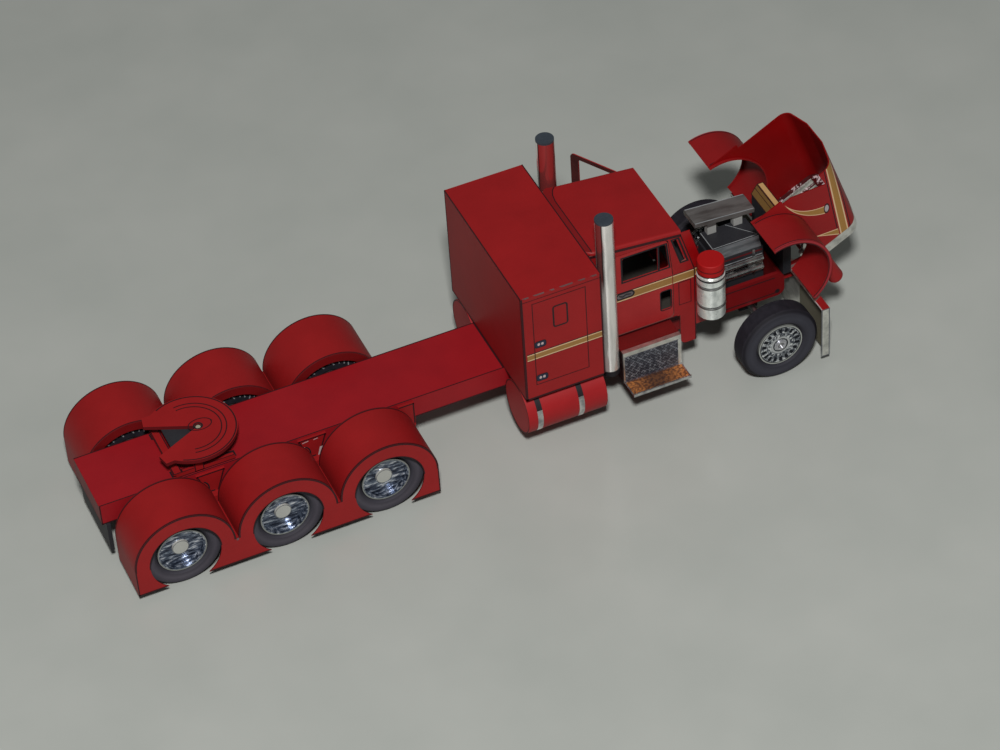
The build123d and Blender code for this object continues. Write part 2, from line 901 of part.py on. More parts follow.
# ---------------------------------------------------------------- engine bay
def build_engine():
    """Engine block between the rails, as one plain block."""
    with BuildPart() as engine:
        with BuildSketch(Plane.XY.offset(frame_front_bottom)):
            with Locations((engine_rear_x + engine_l / 2, engine_y)):
                Rectangle(engine_l, engine_w)
        extrude(amount=engine_top - frame_front_bottom)
    return engine.part


def build_engine_cover():
    """Dark cover on the engine, its right side sloped."""
    right = engine_y - engine_w / 2
    with BuildPart() as cover:
        with BuildSketch(axle_plane(engine_rear_x + (engine_l - cover_l) / 2, engine_top)):
            with BuildLine():
                Polyline(
                    (right, 0),
                    (right + cover_slope, cover_h),
                    (right + engine_w, cover_h),
                    (right + engine_w, 0),
                    close=True,
                )
            make_face()
        extrude(amount=cover_l)
    return cover.part


def build_intake_duct():
    """Flat duct over the left of the engine, on two posts that stand on the cover."""
    slope = math.atan2(duct_fall, duct_l)
    post_y = engine_y + (engine_w - duct_post_w) / 2
    post_rear_x = duct_rear_x + duct_post_inset + duct_post_l
    post_front_x = duct_rear_x + duct_l - duct_post_inset - duct_post_l
    sloped = Plane(
        origin=(duct_rear_x, duct_y, duct_top),
        x_dir=(math.cos(slope), 0, -math.sin(slope)),
        z_dir=(math.sin(slope), 0, math.cos(slope)),
    )
    with BuildPart() as duct:
        with BuildSketch(sloped):
            with Locations((duct_l / 2, 0)):
                Rectangle(duct_l, duct_w)
        extrude(amount=-duct_t)
        with BuildSketch(Plane.XY.offset(engine_top + cover_h)):
            with Locations((post_rear_x, post_y), (post_front_x, post_y)):
                Rectangle(duct_post_l, duct_post_w)
        extrude(until=Until.NEXT)
    return duct.part


def build_manifold():
    """Two pipes along the right of the block, each end held by a small block."""
    right = engine_y - engine_w / 2
    first_x = engine_rear_x + (engine_l - pipe_l) / 2
    pipe_y = right - pipe_gap - pipe_r
    with BuildPart() as pipes:
        for drop in pipe_drops:
            with BuildSketch(axle_plane(first_x, engine_top - drop)):
                with Locations((pipe_y, 0)):
                    Circle(pipe_r)
            extrude(amount=pipe_l)
        for x in (first_x + pipe_block_l, first_x + pipe_l - 2 * pipe_block_l):
            with BuildSketch(axle_plane(x, engine_top - sum(pipe_drops) / 2)):
                with Locations(((right + pipe_y) / 2, 0)):
                    Rectangle(right - pipe_y, pipe_drops[1] - pipe_drops[0])
            extrude(amount=pipe_block_l)
    return pipes.part


def build_radiator():
    """Radiator core that stands on the bumper's arms, ahead of the frame's nose."""
    foot = bumper_top - card
    with BuildPart() as radiator:
        with BuildSketch(axle_plane(frame_front_x, (foot + radiator_top) / 2)):
            Rectangle(radiator_w, radiator_top - foot)
        extrude(amount=radiator_l)
    return radiator.part


def build_header_tank():
    """Tank along the radiator's top, with a slanted rear face."""
    with BuildPart() as header:
        with BuildSketch(side_plane(header_w / 2)):
            with BuildLine():
                Polyline(
                    (frame_front_x, radiator_top),
                    (frame_front_x + header_slant, radiator_top + header_h),
                    (frame_front_x + header_l, radiator_top + header_h),
                    (frame_front_x + header_l, radiator_top),
                    close=True,
                )
            make_face()
        extrude(amount=header_w)
    return header.part


# ---------------------------------------------------------------- bumper and hood hinge
def build_bumper():
    """Deep bumper: front plate with a top flange and short end returns."""
    height = bumper_top - bumper_bottom
    with BuildPart() as bumper:
        with BuildSketch(Plane.XY.offset(bumper_bottom)):
            with Locations((bumper_front_x - bumper_return / 2, 0)):
                Rectangle(bumper_return, bumper_w)
        extrude(amount=height)
        with BuildSketch(Plane.XY.offset(bumper_bottom)):
            with Locations((bumper_front_x - card - bumper_return / 2, 0)):
                Rectangle(bumper_return, bumper_w - 2 * card)
        extrude(amount=height - card, mode=Mode.SUBTRACT)
    return bumper.part


def build_hinge_bracket():
    """Arms from the frame's nose that hold the bumper and the hood's hinge rod."""
    bumper_back = bumper_front_x - card
    with BuildPart() as bracket:
        for y in (hinge_arm_y + board / 2, -hinge_arm_y + board / 2):
            with BuildSketch(side_plane(y)):
                with BuildLine():
                    Polyline(
                        (frame_front_x, frame_front_bottom + frame_nose_r),
                        (bumper_back, frame_front_bottom + frame_nose_r),
                        (bumper_back, bumper_top - card),
                        (frame_front_x, bumper_top - card),
                        close=True,
                    )
                make_face()
            extrude(amount=board)
            with BuildSketch(side_plane(y)):
                with BuildLine():
                    Polyline(
                        (bumper_back - board, bumper_top),
                        (bumper_front_x, bumper_top),
                        (hinge_x + hinge_eye_r * 0.7, hinge_z),
                        (hinge_x, hinge_z + hinge_rod_r + card),
                        (hinge_x - hinge_eye_r * 0.7, hinge_z),
                        close=True,
                    )
                make_face()
            extrude(amount=board)
        with BuildSketch(side_plane(hinge_arm_y)):
            with Locations((hinge_x, hinge_z)):
                Circle(hinge_rod_r)
        extrude(amount=2 * hinge_arm_y)
    return bracket.part


# ---------------------------------------------------------------- hood
# The hood is drawn closed, in the vehicle's own X, Y and Z, and turned at the end.
def tilt(part):
    """Turn a closed hood piece forward to its stored angle."""
    return part.rotate(Axis((hinge_x, 0, hinge_z), (0, 1, 0)), hood_open)


def hood_points(x, foot, inset):
    """Corners of the hood's crowned section at x, in Y and Z, shrunk by inset."""
    share = (x - hood_rear_x) / (hood_front_x - hood_rear_x)
    half = (hood_rear_w + (hood_front_w - hood_rear_w) * share) / 2 - inset
    top = hood_rear_top + (hood_front_top - hood_rear_top) * share - inset
    return [
        (-half, foot - inset),
        (-half, top - crown_drop),
        (-crown_half, top),
        (crown_half, top),
        (half, top - crown_drop),
        (half, foot - inset),
    ]


def build_hood_shell():
    """Crowned, tapering hood from the cowl to the grille, with the wheel arches cut out."""
    fender_foot = nose_fender_z + nose_fender_r * math.sin(fender_end)
    panel_rear_x = front_axle_x - nose_fender_r * math.cos(fender_end)
    grille_x = hood_front_x - grille_depth
    with BuildPart() as hood:
        # columns: inset of the section, corner radius, what it does
        for inset, radius, mode in (
                (0, hood_shoulder_r, Mode.ADD),
                (card, hood_shoulder_r - card, Mode.SUBTRACT)):
            for x in (panel_rear_x, grille_x):
                with BuildSketch(axle_plane(x, 0)):
                    with BuildLine():
                        rim = FilletPolyline(*hood_points(x, fender_foot, inset), radius=radius)
                        Line(rim @ 1, rim @ 0)
                    make_face()
            loft(mode=mode)
        with BuildSketch(side_plane(hood_rear_w)):
            with Locations((front_axle_x, nose_fender_z)):
                Circle(nose_fender_r)
            with BuildLine():
                Polyline(
                    (front_axle_x, fender_foot - card),
                    (grille_x, fender_foot - card),
                    (grille_x, hood_bottom),
                    (front_axle_x, hood_bottom),
                    close=True,
                )
            make_face()
            with BuildLine():
                Polyline(
                    (panel_rear_x, panel_waist),
                    (hood_rear_x, panel_waist),
                    (hood_rear_x, hood_rear_top + card),
                    (panel_rear_x, hood_rear_top + card),
                    close=True,
                )
            make_face()
        extrude(amount=2 * hood_rear_w, mode=Mode.SUBTRACT)
        with BuildSketch(side_plane(-hood_shoulder_r)):
            with BuildLine():
                Polyline(
                    (panel_rear_x, panel_waist),
                    (panel_rear_x + notch_l, notch_top),
                    (panel_rear_x, notch_top),
                    close=True,
                )
            make_face()
        extrude(amount=hood_rear_w, mode=Mode.SUBTRACT)
    return tilt(hood.part)


def build_grille():
    """Grille shell: surround, upright bars and the eyes on the hinge rod."""
    rear_x = hood_front_x - grille_depth
    inner_w = hood_front_w - 2 * grille_rim
    inner_bottom = hood_bottom + grille_rim
    inner_top = hood_front_top - crown_drop - grille_rim
    inner_z = (inner_bottom + inner_top) / 2
    inner_h = inner_top - inner_bottom
    bar_pitch = inner_w / grille_bars
    with BuildPart() as grille:
        for x in (rear_x, hood_front_x):
            with BuildSketch(axle_plane(x, 0)):
                with BuildLine():
                    rim = FilletPolyline(*hood_points(x, hood_bottom, 0), radius=hood_shoulder_r)
                    Line(rim @ 1, rim @ 0)
                make_face()
        loft()
        with BuildSketch(axle_plane(rear_x, inner_z)):
            Rectangle(inner_w, inner_h)
        extrude(amount=grille_depth, mode=Mode.SUBTRACT)
        with BuildSketch(axle_plane(hood_front_x - grille_rim, inner_z)):
            with GridLocations(bar_pitch, 0, grille_bars, 1):
                Rectangle(bar_pitch / 2, inner_h)
        extrude(amount=board / 2)
        for y in (hinge_arm_y - board, -hinge_arm_y + 2 * board):
            with BuildSketch(side_plane(y)):
                with BuildLine():
                    Polyline(
                        (hood_front_x - 2 * board, hood_bottom),
                        (hood_front_x, hood_bottom),
                        (hinge_x + hinge_eye_r, hinge_z),
                        (hinge_x - hinge_eye_r, hinge_z),
                        close=True,
                    )
                make_face()
                with Locations((hinge_x, hinge_z)):
                    Circle(hinge_eye_r)
                    Circle(hinge_rod_r + run_gap, mode=Mode.SUBTRACT)
            extrude(amount=board)
    return tilt(grille.part)


def fender_spokes():
    """Wedge below the front fender's two ends, from its centre, in X and Z."""
    reach = 2 * nose_fender_r
    front = math.radians(nose_fender_front_cut)
    rear = math.radians(nose_fender_rear_cut)
    return [
        (front_axle_x, nose_fender_z),
        (front_axle_x + reach * math.cos(front), nose_fender_z + reach * math.sin(front)),
        (front_axle_x + reach, nose_fender_z - reach),
        (front_axle_x - reach, nose_fender_z - reach),
        (front_axle_x - reach * math.cos(rear), nose_fender_z + reach * math.sin(rear)),
    ]


def build_nose_fender(side):
    """Half-round front fender band with a narrow outer lip."""
    root = hood_front_w / 2
    # columns: outer face, extent across, depth of the band
    table = [
        (nose_fender_face, nose_fender_face - root, card),
        (nose_fender_face, card, nose_lip_w),
    ]
    with BuildPart() as fender:
        for outer, across, depth in table:
            with BuildSketch(side_plane(plate_start(side, outer, across))):
                with Locations((front_axle_x, nose_fender_z)):
                    Circle(nose_fender_r)
                    Circle(nose_fender_r - depth, mode=Mode.SUBTRACT)
                with BuildLine():
                    Polyline(*fender_spokes(), close=True)
                make_face(mode=Mode.SUBTRACT)
            extrude(amount=across)
    return tilt(fender.part)


def build_lamp_pods():
    """Round-nosed lamp pods that grow out of the front of the fenders."""
    with BuildPart() as pods:
        for side in (1, -1):
            with BuildSketch(axle_plane(front_axle_x, pod_z)):
                with Locations((side * pod_y, 0)):
                    Circle(pod_r)
            extrude(amount=pod_nose_x - front_axle_x)
        fillet(pods.edges().group_by(Axis.X)[-1], pod_r / 2)
        with BuildSketch(side_plane(nose_fender_face)):
            with Locations((front_axle_x, nose_fender_z)):
                Circle(nose_fender_r + glue_gap)
        extrude(amount=2 * nose_fender_face, mode=Mode.SUBTRACT)
    return tilt(pods.part)


# ---------------------------------------------------------------- wheels
def ring(u_start, u_end, inner, outer):
    """Rectangle of a ring's section: along the axle from u_start to u_end."""
    with Locations(((u_start + u_end) / 2, (inner + outer) / 2)):
        Rectangle(abs(u_end - u_start), outer - inner)


def build_tyres(x, axle_z, face, width, radius, bore, count):
    """Tyres of one axle, count on each side."""
    axis = Axis((x, 0, axle_z), (0, 1, 0))
    with BuildPart() as tyres:
        with BuildSketch(axle_plane(x, axle_z)) as section:
            for side in (1, -1):
                for i in range(count):
                    outer = face - i * (width + twin_gap)
                    ring(side * outer, side * (outer - width), bore, radius)
            chamfer(section.vertices().group_by(Axis.Z)[-1], tyre_shoulder)
        revolve(axis=axis)
    return tyres.part


def build_rear_rims(x):
    """Dished rims, each through both tyres of its pair, with a hub disc."""
    radius = rear_rim_r - glue_gap
    outer = rear_wheel_face - rim_inset
    inner = rear_wheel_face - 2 * rear_tyre_w - twin_gap + rim_inset
    floor = outer - rim_dish
    with BuildPart() as rims:
        with BuildSketch(axle_plane(x, rear_tyre_r)):
            for side in (1, -1):
                ring(side * inner, side * floor, rod_r + glue_gap, radius)
                ring(side * floor, side * outer, radius - rim_lip, radius)
                ring(side * floor, side * (floor + hub_h), rod_r + glue_gap, hub_r)
        revolve(axis=Axis((x, 0, rear_tyre_r), (0, 1, 0)))
    return rims.part


def build_front_rims():
    """Flat front wheel discs with a small hub."""
    outer = front_wheel_face - rim_inset
    inner = front_wheel_face - front_tyre_w + rim_inset
    with BuildPart() as rims:
        with BuildSketch(axle_plane(front_axle_x, front_tyre_r)):
            for side in (1, -1):
                ring(side * inner, side * outer, rod_r + glue_gap, front_rim_r - glue_gap)
                ring(side * outer, side * (outer + front_hub_h), rod_r + glue_gap, front_hub_r)
        revolve(axis=Axis((front_axle_x, 0, front_tyre_r), (0, 1, 0)))
    return rims.part


def build_rod(x, axle_z, half_length):
    with BuildPart() as rod:
        with BuildSketch(side_plane(half_length)):
            with Locations((x, axle_z)):
                Circle(rod_r)
        extrude(amount=2 * half_length)
    return rod.part


# ---------------------------------------------------------------- write the parts
os.makedirs("parts", exist_ok=True)

save(build_frame(), "frame_box")
save(build_bearers(), "axle_bearers")
save(build_tail_plate(), "tail_plate")
for side, word in ((1, "left"), (-1, "right")):
    save(build_fender_crown(side), f"rear_fender_crown_{word}")
    save(
        build_fender_plate(side, fender_face, outer_hole_r),
        f"rear_fender_outer_{word}",
    )
    save(
        build_fender_plate(side, fender_root(side) + card, inner_hole_r),
        f"rear_fender_inner_{word}",
    )
    save(build_cab_side(side), f"cab_side_{word}")
    save(build_stack(side), f"exhaust_stack_{word}")
    save(build_tank(side), f"fuel_tank_{word}")
    save(build_step(side), f"step_box_{word}")
    save(build_nose_fender(side), f"front_fender_{word}")
save(build_fender_webs(), "fender_webs")
save(build_coupling_plate(), "coupling_plate")
save(build_coupling_bed(), "coupling_bed")
save(build_coupling_base(), "coupling_base")
save(build_sleeper(), "sleeper_box")
save(build_sleeper_front(), "sleeper_front")
save(build_cab_floor(), "cab_floor")
save(build_cab_roof(), "cab_roof")
save(build_screen_frame(), "windscreen_frame")
save(build_cowl(), "cowl")
save(swing(build_door(1), 1, door_open), "door_left")
save(build_door(-1), "door_right")
save(build_seats(), "seats")
save(build_dashboard(), "dashboard")
save(build_steering_wheel(), "steering_wheel")
save(build_stack_caps(), "stack_caps")
save(build_air_can(), "air_cleaner_can")
save(build_air_cap(), "air_cleaner_cap")
save(build_engine(), "engine_block")
save(build_engine_cover(), "engine_cover")
save(build_intake_duct(), "intake_duct")
save(build_manifold(), "side_pipes")
save(build_radiator(), "radiator")
save(build_header_tank(), "header_tank")
save(build_bumper(), "bumper")
save(build_hinge_bracket(), "hinge_bracket")
save(build_hood_shell(), "hood_shell")
save(build_grille(), "grille")
save(build_lamp_pods(), "lamp_pods")

for number, x in enumerate(rear_axles, start=1):
    save(
        build_tyres(x, rear_tyre_r, rear_wheel_face, rear_tyre_w, rear_tyre_r, rear_rim_r, 2),
        f"rear_tyres_{number}",
    )
    save(build_rear_rims(x), f"rear_rims_{number}")
    save(build_rod(x, rear_tyre_r, rear_wheel_face - rim_dish), f"rear_axle_rod_{number}")
save(
    build_tyres(
        front_axle_x, front_tyre_r, front_wheel_face, front_tyre_w,
        front_tyre_r, front_rim_r, 1,
    ),
    "front_tyres",
)
save(build_front_rims(), "front_rims")
save(build_rod(front_axle_x, front_tyre_r, front_wheel_face - 2 * rim_inset), "front_axle_rod")
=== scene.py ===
import json
import math

import bpy
from mathutils import Matrix, Vector


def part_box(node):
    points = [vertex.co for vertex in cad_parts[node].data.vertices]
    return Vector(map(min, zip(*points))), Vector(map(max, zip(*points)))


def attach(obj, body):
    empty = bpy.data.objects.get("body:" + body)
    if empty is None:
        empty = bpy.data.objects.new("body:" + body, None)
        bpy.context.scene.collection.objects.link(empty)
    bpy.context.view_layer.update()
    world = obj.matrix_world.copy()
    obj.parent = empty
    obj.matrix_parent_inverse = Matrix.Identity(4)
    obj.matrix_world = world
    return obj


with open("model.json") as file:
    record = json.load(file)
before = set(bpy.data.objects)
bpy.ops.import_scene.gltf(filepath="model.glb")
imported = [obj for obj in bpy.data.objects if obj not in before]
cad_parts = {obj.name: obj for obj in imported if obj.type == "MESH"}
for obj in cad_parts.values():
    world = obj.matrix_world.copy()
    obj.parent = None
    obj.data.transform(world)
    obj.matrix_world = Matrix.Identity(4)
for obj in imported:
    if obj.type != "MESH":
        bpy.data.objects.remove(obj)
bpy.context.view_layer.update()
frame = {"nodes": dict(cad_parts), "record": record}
nodes = frame["nodes"]
joints = {joint["name"]: joint for joint in frame["record"]["behaviour"]["joints"]}

MM = 0.001
scene = bpy.context.scene


# ==== colour and node helpers
def srgb(r, g, b):
    """A display colour, 0 to 255, as a linear one."""
    out = []
    for c in (r, g, b):
        c = c / 255
        out.append(c / 12.92 if c <= 0.04045 else ((c + 0.055) / 1.055) ** 2.4)
    return tuple(out) + (1.0,)


class Val:
    """A number in a material's node tree; arithmetic on it adds Math nodes."""

    def __init__(self, tree, socket):
        self.tree = tree
        self.socket = socket

    def op(self, kind, *others, clamp=False):
        node = self.tree.nodes.new("ShaderNodeMath")
        node.operation = kind
        node.use_clamp = clamp
        for i, item in enumerate((self, *others)):
            if isinstance(item, Val):
                self.tree.links.new(item.socket, node.inputs[i])
            else:
                node.inputs[i].default_value = item
        return Val(self.tree, node.outputs[0])

    def __add__(self, o): return self.op("ADD", o)
    def __sub__(self, o): return self.op("SUBTRACT", o)
    def __mul__(self, o): return self.op("MULTIPLY", o)
    def __truediv__(self, o): return self.op("DIVIDE", o)
    def __rsub__(self, o): return self.op("MULTIPLY", -1.0).op("ADD", o)
    def abs(self): return self.op("ABSOLUTE")
    def max(self, o): return self.op("MAXIMUM", o)

    def above(self, edge, soft):
        """0 below edge, 1 above it, with a soft step."""
        return ((self - edge) / soft + 0.5).op("ADD", 0.0, clamp=True)

    def below(self, edge, soft):
        return 1.0 - self.above(edge, soft)

    def band(self, middle, width, soft):
        """1 within width about middle."""
        return (self - middle).abs().below(width / 2, soft)


def spun(a, b, degrees):
    """(a, b) turned by an angle."""
    cos, sin = math.cos(math.radians(degrees)), math.sin(math.radians(degrees))
    return a * cos - b * sin, a * sin + b * cos


def hypot(a, b):
    """The length of (a, b)."""
    return (a.op("POWER", 2.0) + b.op("POWER", 2.0)).op("SQRT")


class Shader:
    """One procedural material. Lengths are in mm, and colours are display values, 0 to 255."""

    def __init__(self, name, rough=0.6, specular=0.35, metal=0.0):
        self.mat = bpy.data.materials.new(name)
        self.mat.use_nodes = True
        self.tree = self.mat.node_tree
        self.out = self.tree.nodes["Principled BSDF"]
        self.out.inputs["Roughness"].default_value = rough
        self.out.inputs["Specular IOR Level"].default_value = specular
        self.out.inputs["Metallic"].default_value = metal
        self.coord = self.tree.nodes.new("ShaderNodeTexCoord")
        self.height = None

    def link(self, a, b):
        self.tree.links.new(a, b)

    def xyz(self, source="Object"):
        """The point's place in mm, or the surface's direction, as three numbers."""
        split = self.tree.nodes.new("ShaderNodeSeparateXYZ")
        self.link(self.coord.outputs[source], split.inputs[0])
        vals = [Val(self.tree, s) for s in split.outputs]
        return [v / MM for v in vals] if source == "Object" else vals

    def noise(self, size, detail=3.0, rough=0.55, stretch=(1, 1, 1), turn=(0, 0, 0), seed=0.0):
        """Soft noise from 0 to 1, with lumps about size mm across."""
        mapping = self.tree.nodes.new("ShaderNodeMapping")
        mapping.inputs["Scale"].default_value = [1 / (MM * s) for s in stretch]
        mapping.inputs["Rotation"].default_value = [math.radians(a) for a in turn]
        mapping.inputs["Location"].default_value = (seed, seed * 1.7, seed * 0.6)
        self.link(self.coord.outputs["Object"], mapping.inputs["Vector"])
        node = self.tree.nodes.new("ShaderNodeTexNoise")
        node.inputs["Scale"].default_value = 1.0 / size
        node.inputs["Detail"].default_value = detail
        node.inputs["Roughness"].default_value = rough
        self.link(mapping.outputs[0], node.inputs["Vector"])
        return Val(self.tree, node.outputs["Fac"])

    def ramp(self, value, stops):
        """A colour that runs through stops of (place, colour) with value."""
        node = self.tree.nodes.new("ShaderNodeValToRGB")
        ramp = node.color_ramp
        while len(ramp.elements) < len(stops):
            ramp.elements.new(0.5)
        for element, (place, colour) in zip(ramp.elements, stops):
            element.position = place
            element.color = srgb(*colour)
        self.link(value.socket, node.inputs["Fac"])
        return node.outputs["Color"]

    def mix(self, mask, a, b):
        """Colour a where mask is 0 and b where it is 1."""
        node = self.tree.nodes.new("ShaderNodeMix")
        node.data_type = "RGBA"
        node.inputs["Factor"].default_value = 0.0
        self.link(mask.socket, node.inputs["Factor"])
        for socket, colour in ((node.inputs[6], a), (node.inputs[7], b)):
            if isinstance(colour, tuple):
                socket.default_value = srgb(*colour)
            else:
                self.link(colour, socket)
        return node.outputs[2]

    def colour(self, socket):
        self.link(socket, self.out.inputs["Base Color"])

    def roughness(self, value):
        self.link(value.socket, self.out.inputs["Roughness"])

    def bump(self, value, depth, strength=1.0):
        """Relief of depth mm."""
        node = self.tree.nodes.new("ShaderNodeBump")
        node.inputs["Distance"].default_value = depth * MM
        node.inputs["Strength"].default_value = strength
        self.link(value.socket, node.inputs["Height"])
        if self.height is not None:
            self.link(self.height, node.inputs["Normal"])
        self.height = node.outputs[0]
        self.link(self.height, self.out.inputs["Normal"])


def card_relief(look, fibre=0.012):
    """Paper fibre and the slow waves of a hand-folded sheet."""
    look.bump(look.noise(0.35, detail=4.0), fibre)
    look.bump(look.noise(6.0, detail=1.0, seed=4.0), 0.12, 0.5)


def printed_card(name, colour, deep, rough=0.6, specular=0.3, fibre=0.012):
    """Matt printed card: two tones of one ink, slow mottling and fine grain."""
    look = Shader(name, rough, specular)
    slow = look.noise(9.0, detail=2.0)
    fine = look.noise(0.5, seed=2.0)
    tone = (slow * 0.65 + fine * 0.35).above(0.5, 0.45)
    base = look.mix(tone, deep, colour)
    card_relief(look, fibre)
    look.base = base
    look.colour(base)
    return look


RED = (148, 22, 24)
RED_DEEP = (134, 18, 20)


def red_card(name, colour=RED, deep=RED_DEEP, edge_axis=None, edge=(96, 16, 20)):
    """Matt red card; faces turned off edge_axis are the sheet's cut edges."""
    look = printed_card(name, colour, deep, 0.55, 0.28)
    if edge_axis is not None:
        facing = look.xyz("Normal")[edge_axis].abs()
        look.colour(look.mix(facing.below(0.6, 0.1), look.base, edge))
    return look


BARE = ((124, 118, 108), (100, 95, 87))
BARE_RED = ((82, 28, 26), (58, 18, 18))
DOOR_REDS = ((160, 38, 38), (144, 28, 30))


def lined_card(name, inside, colour=RED, deep=RED_DEEP, lining=BARE):
    """Red card with an unprinted inner side; inside tells it from place and normal."""
    look = printed_card(name, colour, deep, 0.5, 0.3)
    lining = look.mix(look.noise(3.0).above(0.5, 0.5), *lining)
    mask = inside(look.xyz(), look.xyz("Normal"))
    look.colour(look.mix(mask, look.base, lining))
    return look


red = red_card("red_card")
plate_red = red_card("plate_red", edge_axis=1)
# The step boxes' red is painted darker as shade from the cab and stacks above them.
shaded_step_red = red_card("shaded_step_red", (112, 18, 18), (84, 12, 12))
fender_red = red_card("fender_red", (138, 18, 20), (122, 14, 16))
inner_red = red_card("inner_red", (112, 9, 12), (92, 6, 9), edge_axis=1)
tank_red = red_card("tank_red", (158, 25, 29), (143, 20, 24))
cap_red = red_card("cap_red", (168, 12, 14), (152, 8, 10))
side_card = lined_card("side_card", lambda at, n: (n[1] * at[1]).below(0.0, 0.01))
right_door_card = lined_card("right_door_card", lambda at, n: n[1].above(0.3, 0.1), *DOOR_REDS)
left_door_card = lined_card("left_door_card", lambda at, n: n[0].below(-0.3, 0.1), *DOOR_REDS, BARE_RED)
roof_card = lined_card("roof_card", lambda at, n: n[2].below(-0.3, 0.1))
partition_card = lined_card("partition_card", lambda at, n: n[0].above(0.3, 0.1))
# The cab's floor is painted dark grey, darker than the bare card, as painted shade inside the closed
# cab.
shaded_floor_card = printed_card("shaded_floor_card", (66, 62, 57), (50, 47, 43))


def make_deck():
    """Frame card: red deck and tail, the front rails beside the engine darker."""
    look = red_card("deck_red", (148, 19, 27), (134, 15, 24))
    rails = look.xyz()[0].above(RAILS_X, 0.2)
    look.colour(look.mix(rails, look.base, (114, 11, 15)))
    return look


RAILS_X = 25.0
deck_red = make_deck()
flat_red = red_card("flat_red", edge_axis=2)
gloss = printed_card("red_gloss", (150, 10, 14), (132, 6, 10), 0.3, 0.5, 0.006)
dark = printed_card("dark_card", (44, 44, 48), (30, 30, 34))
seat_card = printed_card("seat_card", (122, 116, 108), (100, 95, 88))
slate = printed_card("slate_card", (66, 74, 82), (40, 46, 54), 0.45)
gold = printed_card("gold_card", (204, 166, 114), (184, 144, 92), 0.45, 0.35)


def make_foil(name, rough=0.2, wrinkle=0.1, tint=(225, 225, 222), low=(150, 152, 156), stretch=(1, 1, 1),
              metal=1.0):
    """Hand-glued foil: bright metal with fine wrinkles and duller patches."""
    look = Shader(name, rough, 0.5, metal)
    wear = look.noise(2.2, detail=4.0, stretch=stretch, seed=3.0)
    look.colour(look.ramp(wear, [(0.32, low), (0.58, tint)]))
    look.roughness(look.noise(1.2, detail=2.0, stretch=stretch) * 0.16 + (rough - 0.06))
    look.bump(look.noise(2.6, detail=2.0, stretch=stretch, seed=5.0), wrinkle * 2, 0.6)
    look.bump(look.noise(0.6, stretch=stretch), wrinkle * 0.35, 0.6)
    return look


foil = make_foil("foil")


def make_stack(name, sheen, start, stop, foot, tone):
    """Bright foil tube with a painted red reflection of the cab and sleeper between two bearings about
    its axis, above a foot, edged by painted dark lines.
    """
    look = Shader(name, 0.2, 0.5, 0.7)
    nx, ny, _ = look.xyz("Normal")
    bearing = ny.op("ARCTAN2", nx) * (180 / math.pi)
    wear = look.noise(2.2, detail=4.0, stretch=(1, 1, 6), seed=3.0)
    base = look.ramp(wear, [(0.32, (214, 211, 208)), (0.58, (246, 241, 236))])
    wander = look.noise(5.0, detail=1.0, stretch=(1, 1, 3), seed=8.0) * 24.0 - 12.0
    place = bearing + wander
    sheen = look.xyz()[2].above(foot, 5.0) * sheen
    reflected_red = place.above(start, 6.0) * place.below(stop, 6.0)
    # painted reflection: the red of the cab and sleeper mirrored in the foil
    base = look.mix(reflected_red * sheen, base, tone)
    # painted reflection: dark lines along both edges of the red
    for edge in (start, stop):
        base = look.mix(place.band(edge, 9.0, 5.0) * sheen, base, (46, 14, 18))
    look.colour(base)
    look.bump(look.noise(0.6, stretch=(1, 1, 6)), 0.02, 0.6)
    return look


# each stack's painted red reflection: strength, bearings, foot and colour
near_stack = make_stack("near_stack", 0.88, -178.0, -132.0, 43.0, (150, 26, 28))
far_stack = make_stack("far_stack", 0.93, -165.0, -28.0, 0.0, (188, 52, 52))
can_foil = make_foil("can_foil", 0.28, 0.08, (248, 252, 247), (194, 199, 196), (1, 1, 2), 0.6)
bumper_foil = make_foil("bumper_foil", 0.3, 0.05, (224, 223, 216), (186, 186, 180), metal=0.8)


def make_duct():
    """Dull foil duct on nearly white posts."""
    look = make_foil("duct_foil", 0.42, 0.05, (118, 114, 112), (84, 78, 76), (4, 1, 1), 0.4)
    posts = look.xyz()[2].below(POST_TOP, 0.1)
    top = look.out.inputs["Base Color"].links[0].from_socket
    look.colour(look.mix(posts, top, (190, 190, 186)))
    return look


POST_TOP = 32.3
dull_foil = make_duct()
wire = make_foil("wire", 0.3, 0.01, (176, 176, 176), (120, 120, 122))


def make_tyre(name, axle_x, radius, face, tone):
    """Dark card tyre: the sidewall lighter half way out, the tread and shoulder darker."""
    look = printed_card(name, tone, tuple(c - 12 for c in tone), 0.7, 0.2)
    x, y, z = look.xyz()
    reach = hypot(x - axle_x, z - radius)
    middle = reach.band(radius * 0.78, radius * 0.16, radius * 0.2)
    wall = look.mix(middle, (44, 43, 50), look.base)
    wall = look.mix(reach.above(radius - 0.7, 0.5), wall, (24, 22, 28))
    tread = look.mix(look.noise(1.5, detail=2.0).above(0.5, 0.4), (28, 26, 32), (38, 35, 42))
    look.colour(look.mix(y.abs().above(face - 0.7, 0.3), tread, wall))
    return look


